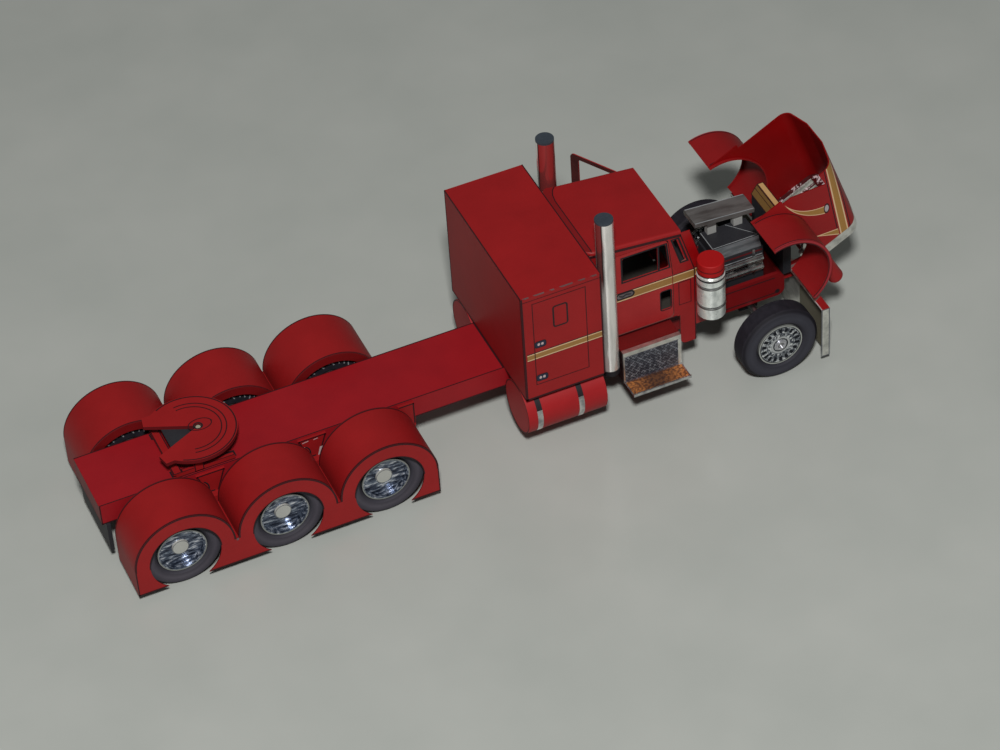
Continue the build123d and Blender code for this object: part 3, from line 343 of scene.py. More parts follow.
def make_rim(name, axle_x, axle_z):
    """Crumpled foil in a dished rim, with painted reflections: dark and bright streaks along the wheel.
    """
    look = Shader(name, 0.16, 0.5, 1.0)
    x, y, z = look.xyz()
    reach = hypot(x - axle_x, z - axle_z)
    lean = (0, 24, 0)
    # painted reflection: dark navy and bright streaks stand in for the room mirrored in the crumpled
    # foil
    streak = look.noise(0.85, rough=0.6, stretch=(3.0, 1, 0.8), turn=lean, seed=axle_x)
    colour = look.ramp(streak, [
        (0.34, (40, 44, 58)), (0.45, (76, 84, 102)), (0.55, (128, 138, 154)), (0.66, (232, 234, 240))])
    hub = look.mix(look.noise(1.5).above(0.5, 0.5), (176, 173, 164), (192, 189, 180))
    disc = reach.below(2.12, 0.06) * y.abs().above(21.4, 0.1)
    colour = look.mix(reach.above(5.85, 0.08), colour, (152, 154, 152))
    look.colour(look.mix(disc, colour, hub))
    look.link((0.75 - disc * 0.75).socket, look.out.inputs["Metallic"])
    look.roughness(disc * 0.35 + 0.26)
    look.bump(look.noise(0.9, stretch=(3, 1, 1), turn=lean), 0.2, 0.7)
    return look


def wheel_polar(look, axle_x, axle_z):
    """Distance from the axle in mm, and the angle round it from -0.5 to 0.5 of a turn."""
    x, _, z = look.xyz()
    across, up = x - axle_x, z - axle_z
    return hypot(across, up), up.op("ARCTAN2", across) / math.tau


def make_front_rim(name, axle_x, axle_z):
    """Printed front wheel: a light rim, a ring of hand holes, studs and a pale hub."""
    look = Shader(name, 0.3, 0.5, 0.7)
    reach, turn = wheel_polar(look, axle_x, axle_z)
    streak = look.noise(0.7, detail=2.0, seed=2.0)
    disc = look.ramp(streak, [(0.38, (70, 74, 84)), (0.5, (150, 154, 160)), (0.62, (226, 228, 230))])
    hole = ((turn * HAND_HOLES).op("FRACT") - 0.5).abs()
    for mask in (hole.below(0.27, 0.06) * reach.band(4.55, 1.3, 0.12),
                 hole.below(0.17, 0.08) * reach.band(3.15, 0.36, 0.1)):
        disc = look.mix(mask, disc, (22, 24, 34))
    # each ring: middle, width, softness and ink
    for middle, width, soft, ink in ((3.6, 0.18, 0.08, (70, 74, 84)), (2.3, 0.5, 0.08, (196, 198, 200)),
                                     (1.9, 0.3, 0.08, (34, 36, 44)), (5.5, 0.22, 0.06, (34, 36, 42))):
        disc = look.mix(reach.band(middle, width, soft), disc, ink)
    disc = look.mix(reach.below(1.6, 0.1), disc, (186, 186, 190))
    look.colour(look.mix(reach.above(5.62, 0.06), disc, (186, 188, 184)))
    look.bump(streak, 0.05, 0.5)
    return look


def make_tread_plate():
    """Navy-grey printed tread plate with small crossed lozenges, a little shiny."""
    look = Shader("tread_plate", 0.36, 0.45, 0.35)
    x, _, z = look.xyz()
    pitch = 0.9
    left = (((x + z) / pitch).op("FRACT") - 0.5).abs()
    right = (((x - z) / pitch).op("FRACT") - 0.5).abs()
    raised = left.below(0.2, 0.12).max(right.below(0.2, 0.12))
    glint = look.noise(0.9).above(0.55, 0.2)
    base = look.mix(raised, (24, 25, 34), (64, 66, 76))
    look.colour(look.mix(glint * raised, base, (146, 150, 158)))
    look.bump(raised, 0.06, 0.8)
    return look


def make_copper():
    """Dark tread with a fine copper hatching, and painted highlights that make it shine towards both
    ends.
    """
    look = Shader("copper_tread", 0.34, 0.5, 0.45)
    x, y, _ = look.xyz()
    hatch = (((x + y * 1.4) / 0.62).op("FRACT") - 0.5).abs().below(0.26, 0.2)
    # painted highlight: the base and the sparks get brighter towards both ends of the step
    ends = (x - STEP_MIDDLE).abs().above(3.6, 5.0)
    spark = look.noise(0.7, seed=11.0).above(0.5, 0.16) * (ends * 0.75 + 0.25)
    base = look.mix(ends * 0.6, (78, 52, 44), (140, 84, 52))
    look.colour(look.mix(hatch * spark, base, (255, 164, 88)))
    look.bump(hatch, 0.05, 0.8)
    return look


def make_hood():
    """Hood card: matt red with gold stripes outside, deeper red inside."""
    look = printed_card("hood_card", RED, RED_DEEP, 0.5, 0.3)
    x, y, z = look.xyz()
    nx, ny, _ = look.xyz("Normal")
    along, up = spun(x - HINGE.x, z - HINGE.z, HOOD_OPEN)
    along, up = along + (HINGE.x - HOOD_REAR), up + HINGE.z
    flank = (ny * y).above(0.0, 0.01) * ny.abs().above(0.3, 0.1)
    outside = flank.max(nx.above(0.2, 0.1))
    soft = 0.05

    def beyond(p, q):
        """Distance to the left of the line from p to q, each (along, up)."""
        size = math.dist(p, q)
        return (up - p[1]) * ((q[0] - p[0]) / size) - (along - p[0]) * ((q[1] - p[1]) / size)

    def disc(cx, cy, radius):
        """Distance outside a circle about (cx, cy)."""
        return hypot(along - cx, up - cy) - radius

    def paint(mask, ink):
        return look.mix(mask * flank, colour, ink)

    gold_ink, cream_ink, dark_ink = (158, 116, 58), (214, 180, 142), (52, 14, 20)
    colour = look.base
    reach = beyond(*HOOD_STRIPE)
    # each line along the stripe: middle, width, softness and ink
    for middle, width, edge, ink in ((1.0, 2.3, soft, cream_ink), (1.0, 1.6, soft, gold_ink),
                                     (-0.7, 0.3, 0.08, dark_ink), (2.75, 0.35, 0.08, dark_ink)):
        colour = paint(reach.band(middle, width, edge), ink)
    short = reach.below(-0.5, soft)
    upper, lower = [beyond(WEDGE_TIP, end) for end in WEDGE_ENDS]
    for inset, ink in ((0.0, cream_ink), (0.25, gold_ink)):
        colour = paint(upper.below(-inset, soft) * lower.above(inset, soft) * short, ink)
    outer, inner = [disc(*circle_through(*points)) for points in CRESCENT]
    crescent = outer.below(0.0, soft) * inner.above(0.0, soft) * beyond(*CRESCENT_END).below(0.0, soft)
    tail_along, tail_up = CRESCENT[0][0]
    crescent = crescent * up.above(tail_up, 0.1) * along.above(tail_along, 0.1)
    colour = paint(crescent, cream_ink)
    colour = paint(crescent * outer.below(-0.22, soft) * inner.above(0.22, soft), gold_ink)
    across, tall = spun(along - OVAL_PLACE[0], up - OVAL_PLACE[1], 26)
    oval = hypot(across / 1.65, tall / 0.8)
    colour = paint(oval.below(1.0, 0.06), dark_ink)
    colour = paint(oval.below(0.68, 0.06), (168, 160, 162))

    mottle = look.noise(12.0, detail=1.0, seed=7.0).above(0.5, 0.6)
    look.colour(look.mix(outside, look.mix(mottle, (108, 3, 4), (132, 6, 8)), colour))
    look.roughness(outside * 0.08 + 0.44)
    look.link((outside * 0.1 + 0.18).socket, look.out.inputs["Specular IOR Level"])
    return look


def make_grille():
    """Foil grille; its rear side is dark red card with white where the sheet is torn."""
    look = make_foil("grille_foil", 0.3, 0.05, (224, 223, 216), (186, 186, 180), metal=0.8)
    nx, _, nz = look.xyz("Normal")
    angle = math.radians(HOOD_OPEN)
    rear = (nz * math.sin(angle) - nx * math.cos(angle)).above(0.5, 0.1)
    torn = look.noise(2.0, detail=4.0, rough=0.7, seed=6.0).above(0.57, 0.05)
    back = look.mix(torn, (62, 10, 12), (196, 176, 178))
    front = look.out.inputs["Base Color"].links[0].from_socket
    look.colour(look.mix(rear, front, back))
    look.link((0.8 - rear * 0.8).socket, look.out.inputs["Metallic"])
    return look


def circle_through(p, q, r):
    """Centre and radius of the circle through three points."""
    (ax, ay), (bx, by), (cx, cy) = p, q, r
    d = 2 * (ax * (by - cy) + bx * (cy - ay) + cx * (ay - by))
    aa, bb, cc = [x * x + y * y for x, y in (p, q, r)]
    ux = (aa * (by - cy) + bb * (cy - ay) + cc * (ay - by)) / d
    uy = (aa * (cx - bx) + bb * (ax - cx) + cc * (bx - ax)) / d
    return ux, uy, math.dist((ux, uy), p)


STEP_MIDDLE = 39.0
HAND_HOLES = 18.0
HOOD_OPEN = 62
HOOD_REAR = 61.1
HINGE = Vector(joints["hood_tilt"]["pos_m"]) / MM
# places on the hood's side: mm ahead of its rear edge, and mm above the ground when it is closed
HOOD_STRIPE = ((6.4, 33.8), (24.6, 28.4))
WEDGE_TIP = (17.3, 23.4)
WEDGE_ENDS = ((20.7, 29.9), (22.9, 29.0))
CRESCENT = (((0.7, 22.4), (7.8, 24.3), (12.9, 29.2)), ((0.7, 22.4), (6.4, 24.8), (10.2, 29.6)))
CRESCENT_END = ((8.6, 31.4), (13.4, 28.4))
OVAL_PLACE = (11.5, 30.0)

REAR_AXLES = (-85.9, -59.85, -33.8)
REAR_R = 10.5
REAR_TYRE_FACE = 23.3
FRONT_X = 71.4
FRONT_R = 10.4
FRONT_TYRE_FACE = 24.3

LOOKS = {
    "frame_box": deck_red, "axle_bearers": dark, "tail_plate": dark,
    "coupling_plate": flat_red, "coupling_bed": dark, "coupling_base": red,
    "sleeper_box": red, "sleeper_front": partition_card, "cab_floor": shaded_floor_card, "cab_roof": roof_card,
    "windscreen_frame": red, "cowl": gloss, "seats": seat_card, "dashboard": dark,
    "steering_wheel": dark, "stack_caps": slate, "air_cleaner_can": can_foil, "air_cleaner_cap": cap_red,
    "engine_block": dark, "engine_cover": dark, "intake_duct": dull_foil, "side_pipes": foil,
    "radiator": dark, "header_tank": gold, "bumper": bumper_foil, "hinge_bracket": red,
    "hood_shell": make_hood(), "grille": make_grille(), "lamp_pods": red, "fender_webs": red,
    "front_rims": make_front_rim("front_rim", FRONT_X, FRONT_R), "front_axle_rod": wire,
    "front_tyres": make_tyre("front_tyre", FRONT_X, FRONT_R, FRONT_TYRE_FACE, (62, 62, 70)),
    "exhaust_stack_left": far_stack, "exhaust_stack_right": near_stack,
    "door_left": left_door_card, "door_right": right_door_card,
}
PAIRS = {
    "rear_fender_crown": red, "rear_fender_outer": plate_red, "rear_fender_inner": inner_red,
    "cab_side": side_card, "fuel_tank": tank_red, "step_box": shaded_step_red, "front_fender": fender_red,
}
for name, look in PAIRS.items():
    LOOKS[name + "_left"] = LOOKS[name + "_right"] = look
for number, axle_x in enumerate(REAR_AXLES, start=1):
    tyre = make_tyre(f"rear_tyre_{number}", axle_x, REAR_R, REAR_TYRE_FACE, (84, 80, 88))
    LOOKS[f"rear_tyres_{number}"] = tyre
    LOOKS[f"rear_rims_{number}"] = make_rim(f"rear_rim_{number}", axle_x, REAR_R)
    LOOKS[f"rear_axle_rod_{number}"] = wire

for name, obj in nodes.items():
    for slot in obj.material_slots:
        slot.material = LOOKS[name].mat


# ==== printed lines and stripes
LIFT = 0.015
OVER = 3 * LIFT
TOPMOST = 4 * LIFT


class Face:
    """A flat face of the model: a point on it and two directions along it, in mm."""

    def __init__(self, origin, u, v, normal, turn=None):
        self.origin, self.u, self.v, self.n = [Vector(p) for p in (origin, u, v, normal)]
        self.turn = turn

    def at(self, a, b, lift=LIFT):
        point = self.origin + self.u * a + self.v * b + self.n * lift
        return self.turn(point) if self.turn else point


def side_face(x, y, z, turn=None):
    """Upright face at y, drawn forward from x and up from z."""
    return Face((x, y, z), (1, 0, 0), (0, 0, 1), (0, math.copysign(1, y), 0), turn)


def top_face(x, y, z, turn=None):
    """Level face at z, drawn forward from x and to the left from y."""
    return Face((x, y, z), (1, 0, 0), (0, 1, 0), (0, 0, 1), turn)


def rear_face(x, y, z):
    """Face across the model at x, seen from the rear, drawn left from y and up from z."""
    return Face((x, y, z), (0, 1, 0), (0, 0, 1), (-1, 0, 0))


def mm_box(name):
    low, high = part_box(name)
    return Vector(low) / MM, Vector(high) / MM


def turned(point, joint, degrees):
    """The point, in mm, turned about a joint's axis."""
    pivot = Vector(joint["pos_m"]) / MM
    turn = Matrix.Rotation(math.radians(degrees), 3, Vector(joint["axis"]))
    return turn @ (point - pivot) + pivot


DOOR_OPEN = 60


def tilt(point):
    """A point of the closed hood, moved to where the tilted hood has it."""
    return turned(point, joints["hood_tilt"], -HOOD_OPEN)


def swing(point):
    """A point of the closed left door, moved to where the open door has it."""
    return turned(point, joints["door_left_swing"], DOOR_OPEN)


class Prints:
    """Thin flat shapes laid on the faces, gathered by body and ink."""

    def __init__(self):
        self.sets = {}

    def polygon(self, body, ink, points):
        verts, faces = self.sets.setdefault((body, ink), ([], []))
        first = len(verts)
        verts.extend(points)
        faces.append(tuple(range(first, first + len(points))))

    def shape(self, body, ink, face, points, lift=LIFT):
        self.polygon(body, ink, [face.at(a, b, lift) for a, b in points])

    def line(self, body, ink, face, points, width=0.3, closed=False, lift=2 * LIFT):
        """A line of even width along points, its corners mitred."""
        pts = [Vector(p) for p in points]
        count = len(pts)
        edges = []
        for i, p in enumerate(pts):
            before = pts[i - 1] if closed or i > 0 else None
            after = pts[(i + 1) % count] if closed or i < count - 1 else None
            a = (p - before).normalized() if before is not None else (after - p).normalized()
            b = (after - p).normalized() if after is not None else a
            across_a = Vector((-a[1], a[0]))
            across = (across_a + Vector((-b[1], b[0]))).normalized()
            reach = width / 2 / max(across.dot(across_a), 0.4)
            edges.append((p + across * reach, p - across * reach))
        for i in range(count if closed else count - 1):
            (l1, r1), (l2, r2) = edges[i], edges[(i + 1) % count]
            self.shape(body, ink, face, [l1, r1, r2, l2], lift)

    def band(self, body, ink, centre, radius, angles, along, axis="x", turn=None):
        """A band bent round a cylinder: angles from level outward, along from start to end."""
        (first, last), (start, end) = angles, along
        steps = max(6, int(abs(last - first) / 3))
        # where each of x, y and z comes from: across the axis, up, or along it
        order = {"x": (2, 0, 1), "y": (0, 2, 1), "z": (0, 1, 2)}[axis]
        bend = []
        for i in range(steps + 1):
            t = math.radians(first + (last - first) * i / steps)
            bend.append((math.cos(t) * (radius + OVER), math.sin(t) * (radius + OVER)))
        for p, q in zip(bend, bend[1:]):
            quad = []
            for corner in ((*p, start), (*q, start), (*q, end), (*p, end)):
                point = Vector([c + corner[i] for c, i in zip(centre, order)])
                quad.append(turn(point) if turn else point)
            self.polygon(body, ink, quad)

    def finish(self):
        for (body, ink), (verts, faces) in self.sets.items():
            mesh = bpy.data.meshes.new(f"print_{ink.mat.name}_{body}")
            mesh.from_pydata([tuple(v * MM) for v in verts], [], faces)
            mesh.materials.append(ink.mat)
            obj = bpy.data.objects.new(mesh.name, mesh)
            scene.collection.objects.link(obj)
            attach(obj, body)


def arc(cx, cy, radius, a0, a1, steps=24, squash=1.0):
    """Points of an arc, degrees counted from +x towards +y."""
    out = []
    for i in range(steps + 1):
        t = math.radians(a0 + (a1 - a0) * i / steps)
        out.append((cx + radius * math.cos(t), cy + radius * squash * math.sin(t)))
    return out


def rounded(x0, y0, x1, y1, radius, steps=5):
    """Outline of a rectangle with round corners."""
    left, right, low, high = x0 + radius, x1 - radius, y0 + radius, y1 - radius
    out = []
    for i, (x, y) in enumerate(((right, high), (left, high), (left, low), (right, low))):
        out += arc(x, y, radius, 90 * i, 90 * i + 90, steps)
    return out


def rect(x0, y0, x1, y1):
    return [(x0, y0), (x1, y0), (x1, y1), (x0, y1)]


ink_line = printed_card("ink_line", (56, 12, 18), (42, 8, 14))
ink_black = printed_card("ink_black", (30, 26, 30), (20, 18, 22))
ink_gold = printed_card("ink_gold", (152, 114, 62), (136, 98, 50), 0.5)
ink_cream = printed_card("ink_cream", (214, 180, 142), (196, 160, 122))
ink_silver = printed_card("ink_silver", (160, 162, 162), (112, 116, 120), 0.4)
ink_white = printed_card("ink_white", (196, 176, 174), (170, 148, 148))
ink_pale = printed_card("ink_pale", (178, 178, 170), (160, 160, 152))
ink_navy = printed_card("ink_navy", (34, 42, 66), (24, 30, 48))
ink_grey = printed_card("ink_grey", (96, 100, 106), (70, 74, 80))
deep_red = printed_card("deep_red", (96, 10, 14), (80, 8, 10))
shaded_strip_red = printed_card("shaded_strip_red", (126, 16, 19), (114, 13, 16))
tail_red = printed_card("tail_red", (128, 62, 60), (108, 48, 48))
hub_card = printed_card("hub_card", (176, 177, 170), (160, 160, 154), 0.5)
pin_card = printed_card("pin_card", (170, 164, 142), (150, 144, 124), 0.5)
handle_ink = printed_card("handle_ink", (120, 112, 112), (58, 50, 54), 0.45)
scuff_ink = printed_card("scuff_ink", (120, 100, 100), (72, 50, 52))
foil_strip = make_foil("foil_strip", 0.32, 0.03)
foil_white = make_foil("foil_white", 0.42, 0.02, (236, 236, 230), (206, 206, 200))
copper_foil = make_copper()
streaky_foil = make_foil("streaky_foil", 0.28, 0.1, (196, 200, 204), (52, 58, 66), (7, 1, 1))
gold_deep = printed_card("gold_deep", (128, 94, 48), (106, 78, 38), 0.45, 0.35)
olive_card = printed_card("olive_card", (112, 108, 92), (92, 88, 74))
side_plate = printed_card("side_plate", (44, 22, 24), (30, 16, 18), 0.3, 0.5)
ink_rose = printed_card("ink_rose", (154, 42, 50), (136, 32, 38))
tread_plate = make_tread_plate()

CHASSIS = "chassis"
prints = Prints()


def draw(face, points, width=0.3, ink=ink_line, lift=2 * LIFT):
    """A line printed on the chassis."""
    prints.line(CHASSIS, ink, face, points, width, False, lift)


def ring(face, outline, width=0.3, ink=ink_line, lift=2 * LIFT):
    """A closed line printed on the chassis."""
    prints.line(CHASSIS, ink, face, outline, width, True, lift)


def fill(ink, face, points, lift=LIFT):
    """A shape printed on the chassis."""
    prints.shape(CHASSIS, ink, face, points, lift)


def wrap(ink, centre, radius, angles, along, axis="x"):
    """A band printed round a cylinder of the chassis."""
    prints.band(CHASSIS, ink, centre, radius, angles, along, axis)


def stripe(body, face, x0, x1, low, high):
    """The gold stripe with pale borders, a dark line over it and a thin one below."""
    border = 0.3
    for ink, foot, top in ((ink_gold, low + border, high - border), (ink_cream, low, low + border),
                           (ink_cream, high - border, high), (ink_black, high, high + 0.25),
                           (ink_line, low - 0.12, low)):
        prints.shape(body, ink, face, rect(x0, foot, x1, top))


# ---- rear fenders and deck
SIDES = ((-1, "right"), (1, "left"))
FENDER_R = 12.66
FENDER_Z = 10.8
CROWN_EDGE = 25.45
HOLE_R = 8.9
WEB_TOP = 18.5
VALLEY_Z = 11.2
SKIRT_Z = 13.5
PLATE_RADIUS = 11.2
PIN_AHEAD = 1.8
BASE_H = 1.3


def print_fenders():
    """Edges of the rear fenders' crowns, and the outlines of their outer plates."""
    for side, word in SIDES:
        low, high = mm_box(f"rear_fender_outer_{word}")
        face = side_face(0, side * max(abs(low.y), abs(high.y)), 0)
        for axle_x in REAR_AXLES:
            draw(face, arc(axle_x, FENDER_Z, FENDER_R - 0.22, 0, 180, 36), 0.42)
            draw(face, arc(axle_x, REAR_R, HOLE_R + 0.1, 0, 180, 30), 0.22)
        foot = low.z + 0.2
        chord = math.sqrt(HOLE_R ** 2 - (REAR_R - foot) ** 2) + 0.1
        starts = [low.x] + [axle_x + chord for axle_x in REAR_AXLES]
        ends = [axle_x - chord for axle_x in REAR_AXLES] + [high.x]
        for start, end in zip(starts, ends):
            draw(face, [(start, foot), (end, foot)], 0.4)
        root = mm_box(f"rear_fender_crown_{word}")[0 if side > 0 else 1].y
        for y in (side * CROWN_EDGE, root + side * 0.15):
            for axle_x in REAR_AXLES:
                wrap(ink_line, (axle_x, 0, FENDER_Z), FENDER_R, (178, 2), (y - 0.15, y + 0.15), "y")
        for end_x in (low.x + 0.15, high.x - 0.15):
            draw(face, [(end_x, low.z), (end_x, FENDER_Z)])
        valley_x = (REAR_AXLES[0] + REAR_AXLES[1]) / 2
        fill(scuff_ink, face, rounded(valley_x - 0.3, 10.2, valley_x + 0.3, 11.0, 0.25), OVER)


def print_webs():
    """Printed lines and bare cut edges on the webs between the fenders' arches."""
    high = mm_box("fender_webs")[1]
    rear, front = [(a + b) / 2 for a, b in zip(REAR_AXLES, REAR_AXLES[1:])]
    for side in (-1, 1):
        face = side_face(0, side * high.y, 0)
        for middle in (rear, front):
            draw(face, [(middle - 3.6, WEB_TOP), (middle + 3.6, WEB_TOP)], 0.4)
            draw(face, [(middle - 3.4, WEB_TOP + 0.2), (middle - 0.7, VALLEY_Z)])
            draw(face, [(middle + 3.4, WEB_TOP + 0.2), (middle + 0.9, VALLEY_Z)])
            draw(face, arc(middle - 3.4, 14.2, 2.6, 55, -25, 8), 0.35, ink_black)
            fill(ink_black, face, rounded(middle - 0.5, 11.5, middle + 0.6, 12.9, 0.3))
        torn = ((0.6, 11.0), (1.3, 11.0), (2.7, 15.0), (1.7, 15.0))
        fill(ink_white, face, [(front + ahead, z) for ahead, z in torn], OVER)
        for width, *ends in ((0.3, (-2.3, 16.4), (-0.9, 12.4)), (0.22, (-2.6, 17.8), (-1.0, 18.0)),
                             (0.22, (0.3, 17.9), (1.4, 18.0))):
            draw(face, [(front + ahead, z) for ahead, z in ends], width, ink_white, OVER)
        draw(face, [(high.x - 4.0, 18.4), (high.x, 18.4)], 0.35)
        draw(face, [(high.x - 0.25, 18.6), (high.x - 0.25, 12.0)], 0.35)


def print_deck():
    """Fold lines of the frame, its tail, and the rails beside the engine."""
    low, high = mm_box("frame_box")
    end_x = mm_box("sleeper_box")[0].x
    rail_x = mm_box("cowl")[1].x
    top = top_face(0, 0, high.z)
    edge = high.y - 0.15
    for y in (-edge, edge):
        draw(top, [(low.x, y), (end_x, y)])
    draw(top, [(end_x - 0.2, -edge), (end_x - 0.2, edge)], 0.35)
    for side in (-1, 1):
        wall = side_face(0, side * high.y, 0)
        draw(wall, [(low.x, SKIRT_Z), (end_x, SKIRT_Z)], 0.35)
        draw(wall, [(low.x + 0.15, SKIRT_Z - 0.2), (low.x + 0.15, high.z)])
        for z in (18.2, 13.2):
            draw(wall, [(rail_x, z), (high.x - 2.6, z)], ink=ink_black)
        for x in (rail_x + 0.4, high.x - 2.2):
            fill(ink_black, wall, rounded(x - 0.4, 12.9, x + 0.9, 14.2, 0.6))
    tail = rear_face(low.x, 0, 0)
    fill(tail_red, tail, rect(-edge, SKIRT_Z, edge, high.z - 0.1))
    draw(tail, [(-edge, SKIRT_Z + 0.1), (edge, SKIRT_Z + 0.1)], ink=ink_black, lift=OVER)


def print_coupling():
    """Lines on the coupling plate, its pin, and the rails and feet under it."""
    high = mm_box("coupling_plate")[1]
    middle = high.x - PLATE_RADIUS
    plate = top_face(middle, 0, high.z)
    for radius in (7.35, 8.55):
        draw(plate, arc(0, 0, radius, -103, 99, 40))
    draw(plate, arc(0, 0, PLATE_RADIUS - 0.35, -120, 120, 44), 0.35)
    ring(plate, arc(PIN_AHEAD + 0.6, 0.3, 2.9, 0, 360, 36, 0.66), 0.26)
    ring(plate, arc(PIN_AHEAD, 0, 1.05, 0, 360, 20), 0.35, ink_black)
    pin = top_face(middle + PIN_AHEAD, 0, high.z - 0.35)
    fill(pin_card, pin, arc(0, 0, 0.82, 0, 345, 23))
    ring(pin, arc(0, 0, 0.7, 0, 360, 20), 0.2, ink_black)
    low, high = mm_box("coupling_base")
    deck_z = mm_box("frame_box")[1].z
    ring(top_face(low.x, 0, deck_z + BASE_H), rect(0.14, -8.45, 2.06, 8.45), 0.28)
    deck = top_face(0, 0, deck_z)
    for side, foot_y in ((-1, -6.8), (1, 7.5)):
        rail = top_face(0, side * 8.0, deck_z + BASE_H)
        ring(rail, rect(low.x + 2.3, -0.48, high.x - 0.12, 0.48), 0.24)
        wall = side_face(0, side * high.y, deck_z)
        draw(wall, [(low.x + 0.6, 0.15), (high.x, 0.15)])
        ring(wall, rect(-76.05, 0.2, -73.95, 4.8), 0.25)
        for x in (low.x + 0.8, high.x - 0.5):
            foot = rect(x - 0.9, foot_y - 0.9, x + 0.9, foot_y + 0.9)
            fill(deep_red, deck, foot)
            ring(deck, foot, 0.35, ink_black)


# ---- sleeper and tanks
HATCH_REAR = 2.9
HATCH_FRONT = 16.7


def print_tank(side):
    """Straps round a fuel tank, and the edges of its ends."""
    low, high = mm_box("fuel_tank_right")
    radius = (high.z - low.z) / 2
    middle = Vector((low.x, side * (abs(low.y) - radius), high.z - radius))
    out = 180 if side < 0 else 0
    for start in (2.4, 13.4):
        for ink, first, last in ((ink_black, 70, 22), (foil_strip, 22, -80)):
            wrap(ink, middle, radius, (out + side * first, out + side * last), (start, start + 1.4))
    front = Face((high.x, middle.y, middle.z), (0, 1, 0), (0, 0, 1), (1, 0, 0))
    for end in (rear_face(low.x, middle.y, middle.z), front):
        ring(end, arc(0, 0, radius - 0.15, 0, 360, 40))


def print_sleeper():
    """Edges, stripe, hatch, window and latches of the sleeper, and the tanks under it."""
    low, high = mm_box("sleeper_box")
    front = mm_box("sleeper_front")[1].x
    long, tall, half = front - low.x, high.z - low.z, high.y
    for side in (-1, 1):
        face = side_face(low.x, side * half, low.z)
        draw(face, [(0.25, 0), (0.25, tall)], 0.5)
        draw(face, [(0, 0.25), (long, 0.25)], 0.5)
        draw(face, [(long - 0.2, 0), (long - 0.2, tall)], 0.4)
        draw(face, [(0.4, tall - 1.25), (long, tall - 1.25)], 0.18)
        ring(face, rect(HATCH_REAR, 4.2, HATCH_FRONT, 30.1), 0.22)
        stripe(CHASSIS, face, 0.9, long, 12.5, 14.4)
        for x in (HATCH_REAR, HATCH_FRONT):
            draw(face, [(x, 12.0), (x, 15.2)], 0.22, lift=OVER)
        ring(face, rounded(8.2, 20.8, 11.8, 27.2, 0.6), 0.42, ink_black)
        for z in (16.9, 6.2):
            latch = rounded(3.0, z - 0.95, 5.9, z + 0.95, 0.6)
            fill(ink_navy, face, latch, OVER)
            ring(face, latch, 0.22, ink_black, TOPMOST)
            for x in (4.0, 4.95):
                fill(ink_white, face, rounded(x - 0.33, z - 0.4, x + 0.33, z + 0.4, 0.3), TOPMOST)
        print_tank(side)
    rear = rear_face(low.x, 0, low.z)
    for y in (0.2 - half, half - 0.2):
        draw(rear, [(y, 0), (y, tall)], 0.4)
    draw(rear, [(-half, tall - 0.15), (half, tall - 0.15)])
    draw(rear, [(-half, 0.2), (half, 0.2)], 0.4)
    roof = top_face(low.x, 0, high.z)
    near = side_face(low.x, -half, 0)
    # each rubbed stretch of the roof's near edge: start and length
    for start, size in ((0.6, 1.6), (3.4, 2.8), (7.6, 1.2), (10.2, 3.4), (15.0, 1.8), (18.2, 1.6)):
        draw(roof, [(start, 0.1 - half), (start + size, 0.1 - half)], 0.22, scuff_ink)
        draw(near, [(start + 0.4, high.z - 0.1), (start + size, high.z - 0.1)], 0.22, scuff_ink)
    draw(roof, [(0.1, -half), (0.1, half)], 0.2)
    draw(roof, [(long - 0.15, -half), (long - 0.15, half)])


# ---- cab, doors, steps and stacks
DOOR_STRIPE = (10.5, 13.0)
WINDOW_LOW = 16.4
WINDOW_TOP = 23.8
PILLAR_LEAN = 3.5
PILLAR_H = 12.2
SCREEN_FOOT = 34.8
EAVE_FALL = 2.6
STEP_ROOT = 13.6
RISER_OUT = 5.4
TREAD_OUT = 5.6
ROUND = (0, 360)


def print_door(body, face):
    """The door's own prints; face starts at the door's low rear corner."""
    low, top = WINDOW_LOW - 0.2, WINDOW_TOP + 0.2
    prints.line(body, ink_black, face, [(2.2, low), (14.9, low), (14.2, top), (2.2, top)], 0.45, True)
    prints.line(body, ink_black, face, [(12.0, WINDOW_LOW), (12.0, WINDOW_TOP)], 0.45, lift=OVER)
    prints.line(body, ink_black, face, rounded(12.2, 2.9, 15.2, 9.1, 0.6), 0.3, True)
    stripe(body, face, 0.1, 15.5, *DOOR_STRIPE)
    handle = rounded(0.5, 11.2, 5.2, 12.9, 0.8)
    prints.shape(body, handle_ink, face, handle, OVER)
    prints.line(body, ink_black, face, handle, 0.42, True, TOPMOST)
    grip = [(1.2, 12.3), (2.2, 11.8), (3.2, 12.3), (4.5, 11.9)]
    prints.line(body, ink_black, face, grip, 0.35, lift=TOPMOST)


